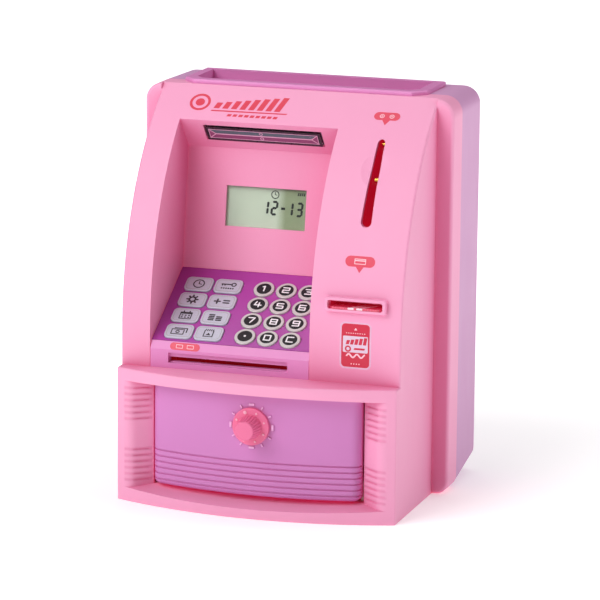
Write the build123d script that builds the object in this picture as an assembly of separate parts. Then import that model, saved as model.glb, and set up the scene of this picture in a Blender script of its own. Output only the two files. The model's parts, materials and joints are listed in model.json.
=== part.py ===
from build123d import *
import math
import os

# A toy cash-machine savings bank. All sizes are in millimetres.
# +X is the bank's right as seen from the front, +Y its back and +Z up. The origin is the
# centre of the footprint, on the surface that the bank stands on.

# ---- casing ----
wall = 2.2                      # thickness of the moulded casing walls
body_half_width = 66.2          # base and hood, either side of the middle
front_corner_y = -48.0          # front corners of the base
front_bulge = 12.3              # how far the base's curved front stands out at the middle
base_top_z = 62.0               # top of the base, where the hood begins
frame_back_y = -41.4            # back of the thick frame round the drawer
hood_foot_y = -42.5             # upright lower part of the hood's front
hood_arc_z = 77.0               # height at which the hood's front starts to curve back
hood_radius = 129.5             # radius of the hood's curved front
flange_front_y = 9.4            # front of the wider rim behind the hood
flange_half_width = 74.0
flange_top_radius = 8.0
flange_foot_radius = 6.0
seam_y = 23.6                   # parting line of the two casing halves
body_top_z = 183.4
back_y = 60.3
back_half_width = 73.1
back_foot_z = 6.4               # the rear casing's floor rises towards the back
back_top_z = 183.0
soft_edge = 1.6                 # rounding of the flange's front edge
crisp_edge = 0.9                # rounding of the hood and base edges

# ---- drawer opening and drawer ----
opening_half_width = 50.2
opening_bottom_z = 7.6
opening_top_z = 55.8
opening_back_y = -43.6          # where the bevelled surround ends
bevel_front_y = -62.0           # plane at which the bevel's outer outline is given
bevel_half_width = 75.4
bevel_bottom_z = 4.1
bevel_top_z = 57.0
pillar_edge_radius = 6.0        # rounding between the surround's pillars and the front
groove_count = 6                # level grooves in each group on the surround's pillars
groove_pitch = 2.87
groove_first_z = (9.6, 38.3)    # foot of the lowest groove in each of the two groups
groove_height = 0.6
groove_depth = 0.35
groove_half_width = 60.6        # where the grooves end, either side of the middle
groove_stop = 1.2               # and how far in front of the bevel's back edge
drawer_inset = 6.0              # drawer face behind the base's curved front
drawer_half_width = 49.2
drawer_bottom_z = 8.8
drawer_top_z = 55.4
drawer_front_back_y = -41.5
drawer_corner_radius = 5.0
drawer_rib_count = 6
drawer_rib_pitch = 2.7
drawer_rib_top_z = 25.0
tub_half_width = 47.0
tub_bottom_z = 8.0
tub_top_z = 50.0
tub_front_y = -38.6
tub_back_y = 20.0
tub_wall = 1.8

# ---- knob and latch ----
knob_x = 0.6
knob_z = 41.6
dial_radius = 8.6
dial_thickness = 1.5
dial_back_y = -54.9             # the dial turns just in front of the drawer's face
dial_mark_count = 8
dial_mark_place = 7.0           # raised dots' distance from the dial's middle
grip_root_radius = 5.6
grip_cap_radius = 4.3
grip_length = 9.0
flute_count = 24
tick_count = 12
tick_radius = 9.9
shaft_radius = 2.5
running_gap = 0.05              # radial clearance of shafts and pins in their holes
cam_length = 17.0
cam_y = -40.8
cam_thickness = 1.6

# ---- drawer lock, behind the drawer ----
lock_x = -32.0
lock_y = 24.0
keeper_z = (48.4, 50.0)         # the drawer's keeper plate
plunger_radius = 2.3
plunger_drop = 3.5              # how far the plunger travels down, into the keeper
yoke_z = (56.0, 74.0)
yoke_sheet = 1.6

# ---- screen and keypad recess ----
recess_left_x = -52.4
recess_right_x = 23.5
lining = 2.0
ceiling_front = (-3.3, 169.4)   # (y, z) of the recess ceiling's front edge
ceiling_back = (8.3, 155.4)     # (y, z) where the ceiling meets the back wall
keypad_top = (0.5, 99.9)        # (y, z) where the back wall meets the keypad
keypad_tilt = 31.9              # degrees from level
keypad_length = 48.6
panel_thickness = 1.2
screen_x = (-32.8, 5.8)
screen_from_keypad = (20.2, 38.9)   # bottom and top of the screen, along the back wall
lamp_x = (-42.0, 14.8)
lamp_along_ceiling = (2.9, 13.2)    # front and back edge of the lamp, along the ceiling

# ---- keys ----
key_rows = 4
key_row_first = 11.3            # first row below the keypad's top edge, along the slope
key_row_pitch = 10.4
number_key_radius = 4.85
number_key_first_x = -9.2
number_key_pitch_x = 10.7
function_key_size = (13.2, 8.9)
function_key_corner = 2.4
function_key_first_x = -40.7
function_key_pitch_x = 14.2
key_proud = 0.8
key_gap = 0.15                  # clearance round a key in its hole
key_flange = 0.27               # how much wider a key's retaining flange is than its cap
key_travel = 0.8
key_foot = 3.4                  # depth of a key's foot below the panel face

# ---- note slot and feed ----
note_slot_x = (-43.6, 13.2)
note_slot_z = (64.9, 67.1)
note_mouth_z = (64.5, 69.1)
note_mouth_depth = 1.6
bezel_slope_z = 70.6            # where the note bezel's face starts to lean back
bezel_top_z = 74.1
bezel_back_y = -38.4
bezel_gap = 0.2                 # clearance at the bezel's two ends
feed_y = -32.0
note_z = 66.0
feed_radius = 4.0
pinch_radius = 2.0
pinch_axle_radius = 0.8
axle_radius = 1.2
tyre_places = (-34.0, -15.2, 3.6)   # middle of each tyre, along the axle
bracket_left_x = (-48.0, -46.4)
bracket_right_x = (15.4, 17.0)
bracket_z = (57.0, 70.2)
motor_radius = 6.0
motor_x = (17.0, 31.8)
motor_shaft_radius = 0.75
gear_module = 0.5
roller_teeth = 20
pinion_teeth = 10
gear_x = 33.2
gear_width = 3.0

# ---- coin slot and chute ----
coin_slot_x = 45.4
coin_slot_radii = (2.5, 1.75)   # radius of the slot's foot and of its head
coin_slot_z = (130.7, 166.6)
dimple_z = 154.5
dimple_depth = 0.8
dimple_half_width = 6.6
dimple_half_height = 8.5
dimple_ball_radius = 60.0       # the ball that shapes the dimple, before it is stretched
chute_x = (41.4, 50.2)
chute_wall = 1.5
chute_mouth = ((-28.0, 126.5), (-1.0, 168.0))   # (y, z) of the mouth's foot and head
contact_heights = (164.0, 149.6)
contact_reach = 11.0            # from a contact's tip to its pivot
contact_drop = 4.0              # how far the pivot lies below the tip

# ---- card slot ----
card_bezel_x = (30.7, 59.2)
card_bezel_z = (94.4, 100.9)
card_bezel_proud = 3.0
card_slot_size = (25.6, 4.0)
card_slot_z = 97.7              # middle of the slot
card_x = (33.1, 56.8)
card_thickness = 0.9
card_lift = 0.15                # clearance under the card
card_front_y = -43.6
card_length = 33.5

# ---- tray ----
tray_half_width = 58.4
tray_y = (14.6, 50.0)
tray_corner_cut = 6.0
tray_rim_height = 2.0
tray_rim_width = 4.8
tray_depth = 24.0
tray_wall = 1.8

# ---- battery compartment, on the back ----
cell_radius = 7.1
cell_length = 50.0
cell_pitch = 15.4
cell_count = 3
battery_x = 25.5                # half width of the compartment's inside
battery_z = (24.0, 82.0)
battery_front_y = 42.0
battery_wall = 1.6
cover_border = 3.0
cover_gap = 0.4

# ---- speaker ----
speaker_z = 126.0
speaker_radius = 18.0

# ---- fasteners ----
screw_x = 66.4
screw_heights = (16.0, 164.0)
screw_radius = 1.5
boss_radius = 3.6


# ---------------------------------------------------------------- shared shapes

def block(x, y, z):
    """A box from (low, high) pairs along X, Y and Z."""
    size = [high - low for low, high in (x, y, z)]
    middle = [(high + low) / 2 for low, high in (x, y, z)]
    return Pos(*middle) * Box(*size)


def across(points, x):
    """A (y, z) outline pulled along X between the two values of x."""
    outline = Plane.YZ.offset(x[0]) * make_face(Polyline(*points, close=True))
    return extrude(outline, amount=x[1] - x[0])


def rod_x(y, z, radius, x):
    """A round bar along X."""
    return Pos((x[0] + x[1]) / 2, y, z) * Rot(0, 90, 0) * Cylinder(radius, x[1] - x[0])


def rod_y(x, z, radius, y):
    """A round bar along Y."""
    return Pos(x, (y[0] + y[1]) / 2, z) * Rot(90, 0, 0) * Cylinder(radius, y[1] - y[0])


def rod_z(x, y, radius, z):
    """A round bar along Z."""
    return Pos(x, y, (z[0] + z[1]) / 2) * Cylinder(radius, z[1] - z[0])


def upright_plane(y):
    """A plane across the bank at y, with its own y axis pointing up."""
    return Plane(origin=(0, y, 0), x_dir=(1, 0, 0), z_dir=(0, -1, 0))


def rounded_outline(half_width, z, top_radius, foot_radius):
    """An upright rectangle with its own radii at the top and the foot."""
    height = z[1] - z[0]
    outline = Pos(0, (z[0] + z[1]) / 2) * Rectangle(2 * half_width, height)
    corners = outline.vertices().sort_by(Axis.Y)
    if foot_radius:
        outline = fillet(corners[:2], foot_radius)
        corners = outline.vertices().sort_by(Axis.Y)
    if top_radius:
        outline = fillet(corners[-2:], top_radius)
    return outline


def along_y(outline, y):
    """An upright outline pulled from the first to the second value of y."""
    return extrude(upright_plane(y[0]) * outline, amount=-(y[1] - y[0]))


def hood_y(z, inset=0.0):
    """The hood's front surface at height z, moved in by inset."""
    rise = max(z - hood_arc_z, 0.0)
    radius = hood_radius - inset
    return hood_foot_y + hood_radius - math.sqrt(radius ** 2 - rise ** 2)


def front_disc(inset):
    """A disc, seen from above, whose edge is the base's curved front moved in by inset."""
    radius = (body_half_width ** 2 + front_bulge ** 2) / (2 * front_bulge)
    return Pos(0, front_corner_y - front_bulge + radius) * Circle(radius - inset)


def front_plan(inset, half_width, rear_y):
    """The base's outline from above: a curved front, straight sides and a straight back."""
    front_y = front_corner_y - front_bulge - 1
    strip = Pos(0, (front_y + rear_y) / 2) * Rectangle(2 * half_width, rear_y - front_y)
    return front_disc(inset) & strip


def shift_along(start, end, distance):
    """The (y, z) point at a distance from start, towards end."""
    length = math.dist(start, end)
    return tuple(a + (b - a) * distance / length for a, b in zip(start, end))


# The keypad's own plane: its origin is the middle of its top edge, its y axis climbs the
# slope and its z axis points out of the panel.
keypad_sine = math.sin(math.radians(keypad_tilt))
keypad_cosine = math.cos(math.radians(keypad_tilt))
keypad_plane = Plane(
    origin=(0, keypad_top[0], keypad_top[1]),
    x_dir=(1, 0, 0),
    z_dir=(0, -keypad_sine, keypad_cosine),
)

# The screen wall's plane: origin at its foot, y axis up the wall, z axis out of the wall.
wall_lean = math.atan2(ceiling_back[0] - keypad_top[0], ceiling_back[1] - keypad_top[1])
screen_plane = Plane(
    origin=(0, keypad_top[0], keypad_top[1]),
    x_dir=(1, 0, 0),
    z_dir=(0, -math.cos(wall_lean), math.sin(wall_lean)),
)

# The ceiling's plane: origin at its front edge, y axis down towards the screen wall and
# z axis up into the casing.
ceiling_length = math.dist(ceiling_front, ceiling_back)
ceiling_run = (ceiling_back[0] - ceiling_front[0]) / ceiling_length
ceiling_fall = (ceiling_front[1] - ceiling_back[1]) / ceiling_length
ceiling_plane = Plane(
    origin=(0, ceiling_front[0], ceiling_front[1]),
    x_dir=(1, 0, 0),
    z_dir=(0, ceiling_fall, ceiling_run),
)


def outermost_face(solid, plane):
    """The face that lies furthest out along a plane's normal."""
    return solid.faces().sort_by(Axis(plane.origin, plane.z_dir))[-1]


def keypad_point(distance, height):
    """The (y, z) of a point down the keypad's slope and above its face."""
    y = keypad_top[0] - distance * keypad_cosine - height * keypad_sine
    z = keypad_top[1] - distance * keypad_sine + height * keypad_cosine
    return y, z


def key_places():
    """Each key's name, kind and place on the keypad: (name, kind, x, distance)."""
    number_names = ("1", "2", "3", "4", "5", "6", "7", "8", "9", "dot", "0", "clear")
    function_names = ("clock", "password", "set", "sum", "day", "money", "note", "card")
    places = []
    for index, name in enumerate(number_names):
        x = number_key_first_x + number_key_pitch_x * (index % 3)
        places.append(("key_" + name, "round", x, key_row_first + key_row_pitch * (index // 3)))
    for index, name in enumerate(function_names):
        x = function_key_first_x + function_key_pitch_x * (index % 2)
        places.append(("key_" + name, "oblong", x, key_row_first + key_row_pitch * (index // 2)))
    return places


def key_outline(kind, growth):
    """A key's outline, made wider all round by growth."""
    if kind == "round":
        return Circle(number_key_radius + growth)
    width, height = function_key_size
    return RectangleRounded(width + 2 * growth, height + 2 * growth, function_key_corner)


# ---------------------------------------------------------------- front casing

def base_outside():
    solid = extrude(front_plan(0, body_half_width, seam_y), amount=base_top_z)
    front_edges = solid.edges().filter_by(GeomType.CIRCLE).sort_by(Axis.Z)[-1:]
    solid = fillet(front_edges, crisp_edge)
    corners = solid.edges().filter_by(Axis.Z).filter_by_position(Axis.Y, -60, front_corner_y + 1)
    return fillet(corners, crisp_edge)


def hood_profile(inset, foot_z, rear_y):
    """The hood's side outline, closed behind at rear_y."""
    crown_z = body_top_z - inset
    crown = (hood_y(crown_z, inset), crown_z)
    middle_z = (hood_arc_z + crown_z) / 2
    middle = (hood_y(middle_z, inset), middle_z)
    foot = (hood_foot_y + inset, foot_z)
    arc_start = (hood_foot_y + inset, hood_arc_z)
    rear_top = (rear_y, crown_z)
    rear_foot = (rear_y, foot_z)
    edges = [
        Line(foot, arc_start),
        ThreePointArc(arc_start, middle, crown),
        Polyline(crown, rear_top, rear_foot, foot),
    ]
    return make_face(Curve() + edges)


def hood_outside():
    profile = hood_profile(0, base_top_z - 10, seam_y)
    solid = extrude(Plane.YZ.offset(-body_half_width) * profile, amount=2 * body_half_width)
    front_edges = [
        edge for edge in solid.edges()
        if edge.center().Y < flange_front_y - 1 and abs(edge.center().X) > body_half_width - 1
        and edge.center().Z > base_top_z and edge.center().Z < body_top_z - 10
    ]
    return fillet(front_edges, crisp_edge)


def before_hood(inset):
    """The space in front of the upper part of the hood's surface, as wide as the hood."""
    profile = hood_profile(inset, base_top_z, seam_y + 1)
    hood = extrude(Plane.YZ.offset(-flange_half_width) * profile, amount=2 * flange_half_width)
    half = body_half_width - inset
    return block((-half, half), (hood_foot_y, seam_y), (hood_arc_z, body_top_z - inset)) - hood


def flange_outside():
    """The wider rim behind the hood. The hood's curve runs up through its top edge."""
    outline = rounded_outline(
        flange_half_width, (0, body_top_z), flange_top_radius, flange_foot_radius
    )
    solid = along_y(outline, (flange_front_y, seam_y))
    front_face = solid.faces().sort_by(Axis.Y)[0]
    return fillet(front_face.edges(), soft_edge) - before_hood(0)


def casing_hollow():
    """The room inside the front casing."""
    base = block(
        (-body_half_width + wall, body_half_width - wall),
        (frame_back_y, seam_y + 1),
        (wall, base_top_z),
    )
    profile = hood_profile(wall, base_top_z - 8, seam_y + 1)
    hood = extrude(
        Plane.YZ.offset(-body_half_width + wall) * profile,
        amount=2 * (body_half_width - wall),
    )
    outline = rounded_outline(
        flange_half_width - wall,
        (wall, body_top_z - wall),
        flange_top_radius - wall,
        flange_foot_radius - wall,
    )
    flange = along_y(outline, (flange_front_y + wall, seam_y + 1)) - before_hood(wall)
    return base + hood + flange


def recess_space():
    """The open space of the recess, from the casing's front to the screen wall."""
    front_y = front_corner_y - front_bulge - 5
    out_front = shift_along(ceiling_back, ceiling_front, ceiling_length + 14)
    panel_back = keypad_point(0, -panel_thickness)
    outline = [
        (front_y, base_top_z),
        (front_y, out_front[1]),
        out_front,
        ceiling_back,
        keypad_top,
        panel_back,
        (panel_back[0], base_top_z),
    ]
    return across(outline, (recess_left_x, recess_right_x))


def recess_lining():
    """Walls round the recess, before its space is taken out."""
    front_y = front_corner_y
    ceiling_far = shift_along(ceiling_back, ceiling_front, ceiling_length + 14)
    normal = (ceiling_fall * lining, ceiling_run * lining)
    skirt = keypad_point(0, -6.0)
    skirt_foot = keypad_point(keypad_length, -6.0)
    outline = [
        (front_y, skirt_foot[1]),
        (front_y, ceiling_far[1] + normal[1]),
        (ceiling_far[0] + normal[0], ceiling_far[1] + normal[1]),
        (ceiling_back[0] + lining, ceiling_back[1] + normal[1] * 0.4),
        (keypad_top[0] + lining, keypad_top[1]),
        (keypad_top[0] + lining, skirt[1]),
        skirt,
        skirt_foot,
    ]
    return across(outline, (recess_left_x - lining, recess_right_x + lining))


def keypad_ledges():
    """Two strips that carry the keypad panel along its sides."""
    depth = 1.6
    strips = Part()
    for x in (recess_left_x + depth / 2, recess_right_x - depth / 2):
        middle = Pos(x, -keypad_length / 2, -panel_thickness - depth / 2)
        strips += keypad_plane * middle * Box(depth, keypad_length - 3, depth)
    return strips


def surround_plan(growth):
    """The bevelled surround as seen from above, made wider by growth, pulled up through the base."""
    front_half = bevel_half_width + growth
    back_half = opening_half_width + growth
    outline = [
        (-front_half, bevel_front_y),
        (front_half, bevel_front_y),
        (back_half, opening_back_y),
        (-back_half, opening_back_y),
    ]
    return extrude(make_face(Polyline(*outline, close=True)), amount=base_top_z)


def drawer_surround():
    """The bevelled opening in front of the drawer."""
    side_outline = [
        (bevel_front_y, bevel_bottom_z),
        (bevel_front_y, bevel_top_z),
        (opening_back_y, opening_top_z),
        (opening_back_y, opening_bottom_z),
    ]
    bevel = surround_plan(0) & across(side_outline, (-bevel_half_width, bevel_half_width))
    throat = block(
        (-opening_half_width, opening_half_width),
        (opening_back_y - 0.01, frame_back_y + 1),
        (opening_bottom_z, opening_top_z),
    )
    return bevel + throat


def pillar_grooves():
    """Short level grooves in the bevelled pillars, near the top and near the bottom."""
    wide = surround_plan(groove_depth)
    grooves = Part()
    for first_z in groove_first_z:
        for index in range(groove_count):
            z = first_z + groove_pitch * index
            slab = block(
                (-groove_half_width, groove_half_width),
                (bevel_front_y, opening_back_y - groove_stop),
                (z, z + groove_height),
            )
            grooves += wide & slab
    return grooves


def coin_opening():
    """The upright coin slot, with round ends, cut through the hood from the front."""
    foot_radius, head_radius = coin_slot_radii
    foot = Pos(coin_slot_x, coin_slot_z[0] + foot_radius) * Circle(foot_radius)
    head = Pos(coin_slot_x, coin_slot_z[1] - head_radius) * Circle(head_radius)
    outline = make_hull(foot.edges() + head.edges())
    return along_y(outline, (hood_foot_y, flange_front_y))


def thumb_dimple():
    """A shallow hollow for the thumb on both sides of the coin slot."""
    centre_y = hood_foot_y + hood_radius
    slope = math.degrees(math.asin((dimple_z - hood_arc_z) / hood_radius))
    bend_x = dimple_half_width ** 2 / (2 * dimple_depth)
    bend_z = 1 / (2 * dimple_depth / dimple_half_height ** 2 - 1 / hood_radius)
    stretch_x = math.sqrt(bend_x / dimple_ball_radius)
    stretch_z = math.sqrt(bend_z / dimple_ball_radius)
    ball = scale(Sphere(dimple_ball_radius), by=(stretch_x, 1.0, stretch_z))
    on_hood = Pos(coin_slot_x, centre_y, hood_arc_z) * Rot(-slope, 0, 0)
    return on_hood * Pos(0, dimple_depth - hood_radius - dimple_ball_radius, 0) * ball


def casing_bosses(front_y, rear_y):
    """Posts for the casing screws."""
    posts = Part()
    for x in (-screw_x, screw_x):
        for z in screw_heights:
            posts += rod_y(x, z, boss_radius, (front_y, rear_y))
    return posts


def casing_screw_holes(y):
    holes = Part()
    for x in (-screw_x, screw_x):
        for z in screw_heights:
            holes += rod_y(x, z, screw_radius + 0.1, y)
    return holes


def tray_hole(y):
    """The opening in the top of the casing that the tray drops into."""
    half = tray_half_width - tray_rim_width + tray_wall + 0.3
    return block((-half, half), y, (body_top_z - 12, body_top_z + 5))


def front_shell():
    outside = base_outside() + hood_outside() + flange_outside()
    shell = outside - casing_hollow()
    shell += recess_lining() & outside
    shell -= recess_space()
    shell += keypad_ledges()
    shell -= drawer_surround()
    pillar_edges = [
        edge for edge in shell.edges().filter_by(Axis.Z)
        if edge.center().Y < opening_back_y - 1 and edge.length > drawer_top_z - drawer_bottom_z
        and abs(edge.center().X) > opening_half_width + 1
        and abs(edge.center().X) < body_half_width - 1
    ]
    shell = fillet(pillar_edges, pillar_edge_radius)
    shell -= pillar_grooves()
    shell -= thumb_dimple()
    shell -= coin_opening()
    shell -= card_tongue(0.1)
    shell -= screen_slab(0, 2, -6)
    shell -= lamp_slab(0, -3, 5)
    shell -= tray_hole((tray_y[0] + tray_rim_width - tray_wall - 0.3, seam_y + 1))
    shell += casing_bosses(flange_front_y + wall / 2, seam_y)
    shell -= casing_screw_holes((flange_front_y + 3, seam_y + 1))
    return shell


# ---------------------------------------------------------------- rear casing

def back_form(inset, y):
    """The rear casing's tapered form, moved in by inset."""
    share = [(value - seam_y) / (back_y - seam_y) for value in y]
    sections = []
    for value, part in zip(y, share):
        half_width = flange_half_width + (back_half_width - flange_half_width) * part
        foot = back_foot_z * part
        top = body_top_z + (back_top_z - body_top_z) * part
        outline = rounded_outline(
            half_width - inset,
            (foot + inset, top - inset),
            flange_top_radius - inset,
            flange_foot_radius - inset,
        )
        sections.append(upright_plane(value) * outline)
    return loft(sections, ruled=True)


def speaker_slots():
    slots = Part()
    for index in range(-4, 5):
        z = speaker_z + index * 3.6
        half = math.sqrt((speaker_radius - 2.5) ** 2 - (index * 3.6) ** 2)
        slot = Pos(0, z) * SlotOverall(2 * half, 1.6)
        slots += along_y(slot, (back_y - 6, back_y + 1))
    return slots


def rear_feet():
    """Two moulded feet under the raised rear floor."""
    feet = Part()
    for x in (-44.0, 44.0):
        feet += rod_z(x, 48.0, 5.0, (0, back_foot_z + 1))
    return feet


def back_shell():
    outside = back_form(0, (seam_y, back_y))
    rear_face = outside.faces().sort_by(Axis.Y)[-1]
    outside = fillet(rear_face.edges(), 5.0)
    shell = outside - back_form(wall, (seam_y, back_y - wall))
    shell += rear_feet() - back_form(wall, (seam_y, back_y - wall))
    shell += casing_bosses(seam_y, back_y - 1)
    for x in (-screw_x, screw_x):
        for z in screw_heights:
            shell -= rod_y(x, z, screw_radius + 0.15, (seam_y - 1, back_y + 1))
            shell -= rod_y(x, z, boss_radius - 0.8, (seam_y + 6, back_y + 1))
    shell -= tray_hole((seam_y - 1, tray_y[1] - tray_rim_width + tray_wall + 0.3))
    shell -= speaker_slots()
    cover_half = battery_x + cover_border
    cover_z = (battery_z[0] - cover_border, battery_z[1] + cover_border)
    shell -= block((-cover_half, cover_half), (back_y - wall, back_y + 1), cover_z)
    shell -= block((-battery_x, battery_x), (back_y - 6, back_y + 1), battery_z)
    return shell


# ---------------------------------------------------------------- tray on top

def tray_outline(inset):
    """The tray from above: a long rectangle with its two front corners cut off."""
    half = tray_half_width - inset
    front = tray_y[0] + inset
    rear = tray_y[1] - inset
    cut = tray_corner_cut - inset * 0.4
    points = [
        (-half, rear), (-half, front + cut), (-half + cut, front),
        (half - cut, front), (half, front + cut), (half, rear),
    ]
    return make_face(Polyline(*points, close=True))


def top_tray():
    rim = Pos(0, 0, body_top_z) * extrude(tray_outline(0), amount=tray_rim_height)
    rim_top = rim.faces().sort_by(Axis.Z)[-1]
    rim = fillet(rim_top.edges(), 0.9)
    tub_inset = tray_rim_width - tray_wall
    tub = Pos(0, 0, body_top_z - tray_depth) * extrude(tray_outline(tub_inset), amount=tray_depth)
    floor_z = body_top_z - tray_depth + tray_wall
    room = Pos(0, 0, floor_z) * extrude(tray_outline(tray_rim_width), amount=tray_depth + 10)
    return rim + tub - room


# ---------------------------------------------------------------- drawer

def drawer_face_form(inset):
    """The drawer front's rounded form, moved in by inset."""
    plan = front_plan(drawer_inset + inset, drawer_half_width - inset, drawer_front_back_y)
    height = drawer_top_z - drawer_bottom_z - inset
    solid = Pos(0, 0, drawer_bottom_z + inset) * extrude(plan, amount=height)
    front_corners = solid.edges().filter_by(Axis.Z).sort_by(Axis.Y)[:2]
    return fillet(front_corners, drawer_corner_radius - inset)


def drawer_front():
    form = drawer_face_form(0)
    bottom_face = form.faces().sort_by(Axis.Z)[0]
    bottom_edges = [edge for edge in bottom_face.edges() if edge.center().Y < drawer_front_back_y - 1]
    form = fillet(bottom_edges, 2.4)
    inner = drawer_face_form(0.6)
    for index in range(drawer_rib_count):
        z = drawer_rib_top_z - drawer_rib_pitch * index
        slab = block((-60, 60), (-70, drawer_front_back_y - 2), (z - 0.4, z + 0.4))
        form -= slab - inner
    hollow = drawer_face_form(wall)
    room = hollow & block((-60, 60), (-70, 0), (0, drawer_top_z - wall))
    room += Pos(0, 1, 0) * room
    form -= room
    form += rod_y(knob_x, knob_z, shaft_radius + 2.0, (-53.0, -48.0))
    form -= rod_y(knob_x, knob_z, shaft_radius + running_gap, (-60, -40))
    form += dial_ticks()
    return form


def dial_ticks():
    """Raised marks in a ring round the knob, on the drawer's face."""
    ticks = Part()
    for index in range(tick_count):
        long_mark = index % 3 == 0
        size = (2.6, 1.1) if long_mark else (0.7, 1.5)
        mark = Rot(0, 0, 360 / tick_count * index) * Pos(0, tick_radius) * Rectangle(*size)
        ticks += along_y(Pos(knob_x, knob_z) * mark, (-54.75, -53.5))
    return ticks


def drawer_tub():
    x = (-tub_half_width, tub_half_width)
    tub = block(x, (tub_front_y, tub_back_y), (tub_bottom_z, tub_top_z))
    arms_z = (tub_bottom_z + 2, tub_top_z)
    for side in (-1, 1):
        outer = side * tub_half_width
        inner = side * (tub_half_width - tub_wall)
        arm = (min(outer, inner), max(outer, inner))
        tub += block(arm, (drawer_front_back_y, tub_front_y), arms_z)
    room_x = (-tub_half_width + tub_wall, tub_half_width - tub_wall)
    room_y = (tub_front_y + tub_wall, tub_back_y - tub_wall)
    tub -= block(room_x, room_y, (tub_bottom_z + tub_wall, tub_top_z + 1))
    keeper = block((lock_x - 5, lock_x + 5), (tub_back_y - tub_wall, lock_y + 5), keeper_z)
    keeper -= rod_z(lock_x, lock_y, 3.2, (keeper_z[0] - 1, keeper_z[1] + 1))
    return tub + keeper


def drawer_rails():
    """A pair of guides on the floor, under and beside the drawer's tub."""
    rails = Part()
    for side in (-1, 1):
        low = sorted((side * 44.0, side * 50.6))
        high = sorted((side * 47.6, side * 50.6))
        rails += block(low, (-39.5, 22.0), (wall, tub_bottom_z - 0.4))
        rails += block(high, (-39.5, 22.0), (wall, 16.0))
    return rails


# ---------------------------------------------------------------- knob and latch

def dial_knob():
    dial_y = (dial_back_y - dial_thickness, dial_back_y)
    dial = rod_y(knob_x, knob_z, dial_radius, dial_y)
    dial = fillet(dial.edges().sort_by(Axis.Y)[:1], 0.5)
    root = upright_plane(dial_y[0]) * Pos(knob_x, knob_z) * Circle(grip_root_radius)
    cap = upright_plane(dial_y[0] - grip_length) * Pos(knob_x, knob_z) * Circle(grip_cap_radius)
    grip = loft([root, cap], ruled=True)
    grip = fillet(grip.edges().sort_by(Axis.Y)[:1], 0.7)
    for index in range(flute_count):
        turn = 360 / flute_count * index
        foot = Rot(0, 0, turn) * Pos(0, grip_root_radius + 0.15) * Circle(0.42)
        head = Rot(0, 0, turn) * Pos(0, grip_cap_radius + 0.15) * Circle(0.34)
        foot_section = upright_plane(dial_y[0] - 0.2) * Pos(knob_x, knob_z) * foot
        head_section = upright_plane(dial_y[0] - grip_length + 0.9) * Pos(knob_x, knob_z) * head
        grip -= loft([foot_section, head_section], ruled=True)
    knob = dial + grip
    for index in range(dial_mark_count):
        turn = 360 / dial_mark_count * index + 20
        place = Pos(knob_x, knob_z) * Rot(0, 0, turn) * Pos(0, dial_mark_place)
        mark_radius = 0.5 if index else 0.8
        knob += along_y(place * Circle(mark_radius), (dial_y[0] - 0.4, dial_y[0] + 0.2))
    return knob - rod_y(knob_x, knob_z, shaft_radius, (dial_back_y - 5, dial_back_y + 1))


def latch_cam():
    shaft = rod_y(knob_x, knob_z, shaft_radius, (dial_back_y - 5, cam_y + cam_thickness))
    hub = rod_y(knob_x, knob_z, 4.4, (cam_y, cam_y + cam_thickness))
    arm_x = (knob_x, knob_x + cam_length)
    arm = block(arm_x, (cam_y, cam_y + cam_thickness), (knob_z - 3, knob_z + 3))
    return shaft + hub + arm


def shaft_clip():
    """The ring that keeps the knob's shaft in the drawer front."""
    y = (-47.6, -46.8)
    return rod_y(knob_x, knob_z, 4.4, y) - rod_y(knob_x, knob_z, shaft_radius, y)


# ---------------------------------------------------------------- keypad

def keypad_panel():
    """The coloured plate that the keys stand through."""
    middle = Pos((recess_left_x + recess_right_x) / 2, -keypad_length / 2, -panel_thickness / 2)
    width = recess_right_x - recess_left_x - 0.3
    plate = keypad_plane * middle * Box(width, keypad_length - 0.4, panel_thickness)
    for _, kind, x, distance in key_places():
        outline = Pos(x, -distance, -5) * key_outline(kind, key_gap)
        plate -= extrude(keypad_plane * outline, amount=10)
    return plate


def key(kind, x, distance):
    """One key: a cap through the panel, a retaining flange behind it and a foot."""
    flange_top = -panel_thickness - 0.1
    flange_height = 0.8
    cap_section = keypad_plane * Pos(x, -distance, flange_top) * key_outline(kind, 0)
    cap = extrude(cap_section, amount=key_proud - flange_top)
    cap = fillet(outermost_face(cap, keypad_plane).edges(), 0.35)
    flange = Pos(x, -distance, flange_top - flange_height) * key_outline(kind, key_flange)
    body = extrude(keypad_plane * flange, amount=flange_height)
    foot = Pos(x, -distance, -key_foot) * Circle(1.6)
    foot_solid = extrude(keypad_plane * foot, amount=key_foot + flange_top - 0.2)
    return cap + body + foot_solid


def keypad_sheet(size_gap, top, bottom):
    """A sheet parallel to the panel, between two depths behind its face."""
    start, end = 4.0, 46.0
    width = recess_right_x - recess_left_x - size_gap
    middle_x = (recess_left_x + recess_right_x) / 2
    middle = Pos(middle_x, -(start + end) / 2, (top + bottom) / 2)
    return keypad_plane * middle * Box(width, end - start, top - bottom)


def key_mat():
    """The rubber contact sheet under the keys, with a raised pad under each key."""
    mat = keypad_sheet(4.0, -4.7, -5.4)
    for _, _, x, distance in key_places():
        pad = keypad_plane * Pos(x, -distance, -4.75) * Circle(1.9)
        mat += extrude(pad, amount=0.35)
    return mat


def key_board():
    """The printed circuit board that the keys' contacts close."""
    return keypad_sheet(4.0, -5.4, -6.8)


# ---------------------------------------------------------------- screen and lamp

def screen_slab(border, top, bottom, lift=0.0):
    """A flat piece parallel to the screen wall, wider than the screen by border."""
    width = screen_x[1] - screen_x[0] + 2 * border
    height = screen_from_keypad[1] - screen_from_keypad[0] + 2 * border
    middle_x = (screen_x[0] + screen_x[1]) / 2
    middle_y = (screen_from_keypad[0] + screen_from_keypad[1]) / 2 + lift
    return screen_plane * Pos(middle_x, middle_y, (top + bottom) / 2) * Box(
        width, height, top - bottom
    )


def screen_window():
    return screen_slab(-0.1, -0.6, -1.6)


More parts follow.
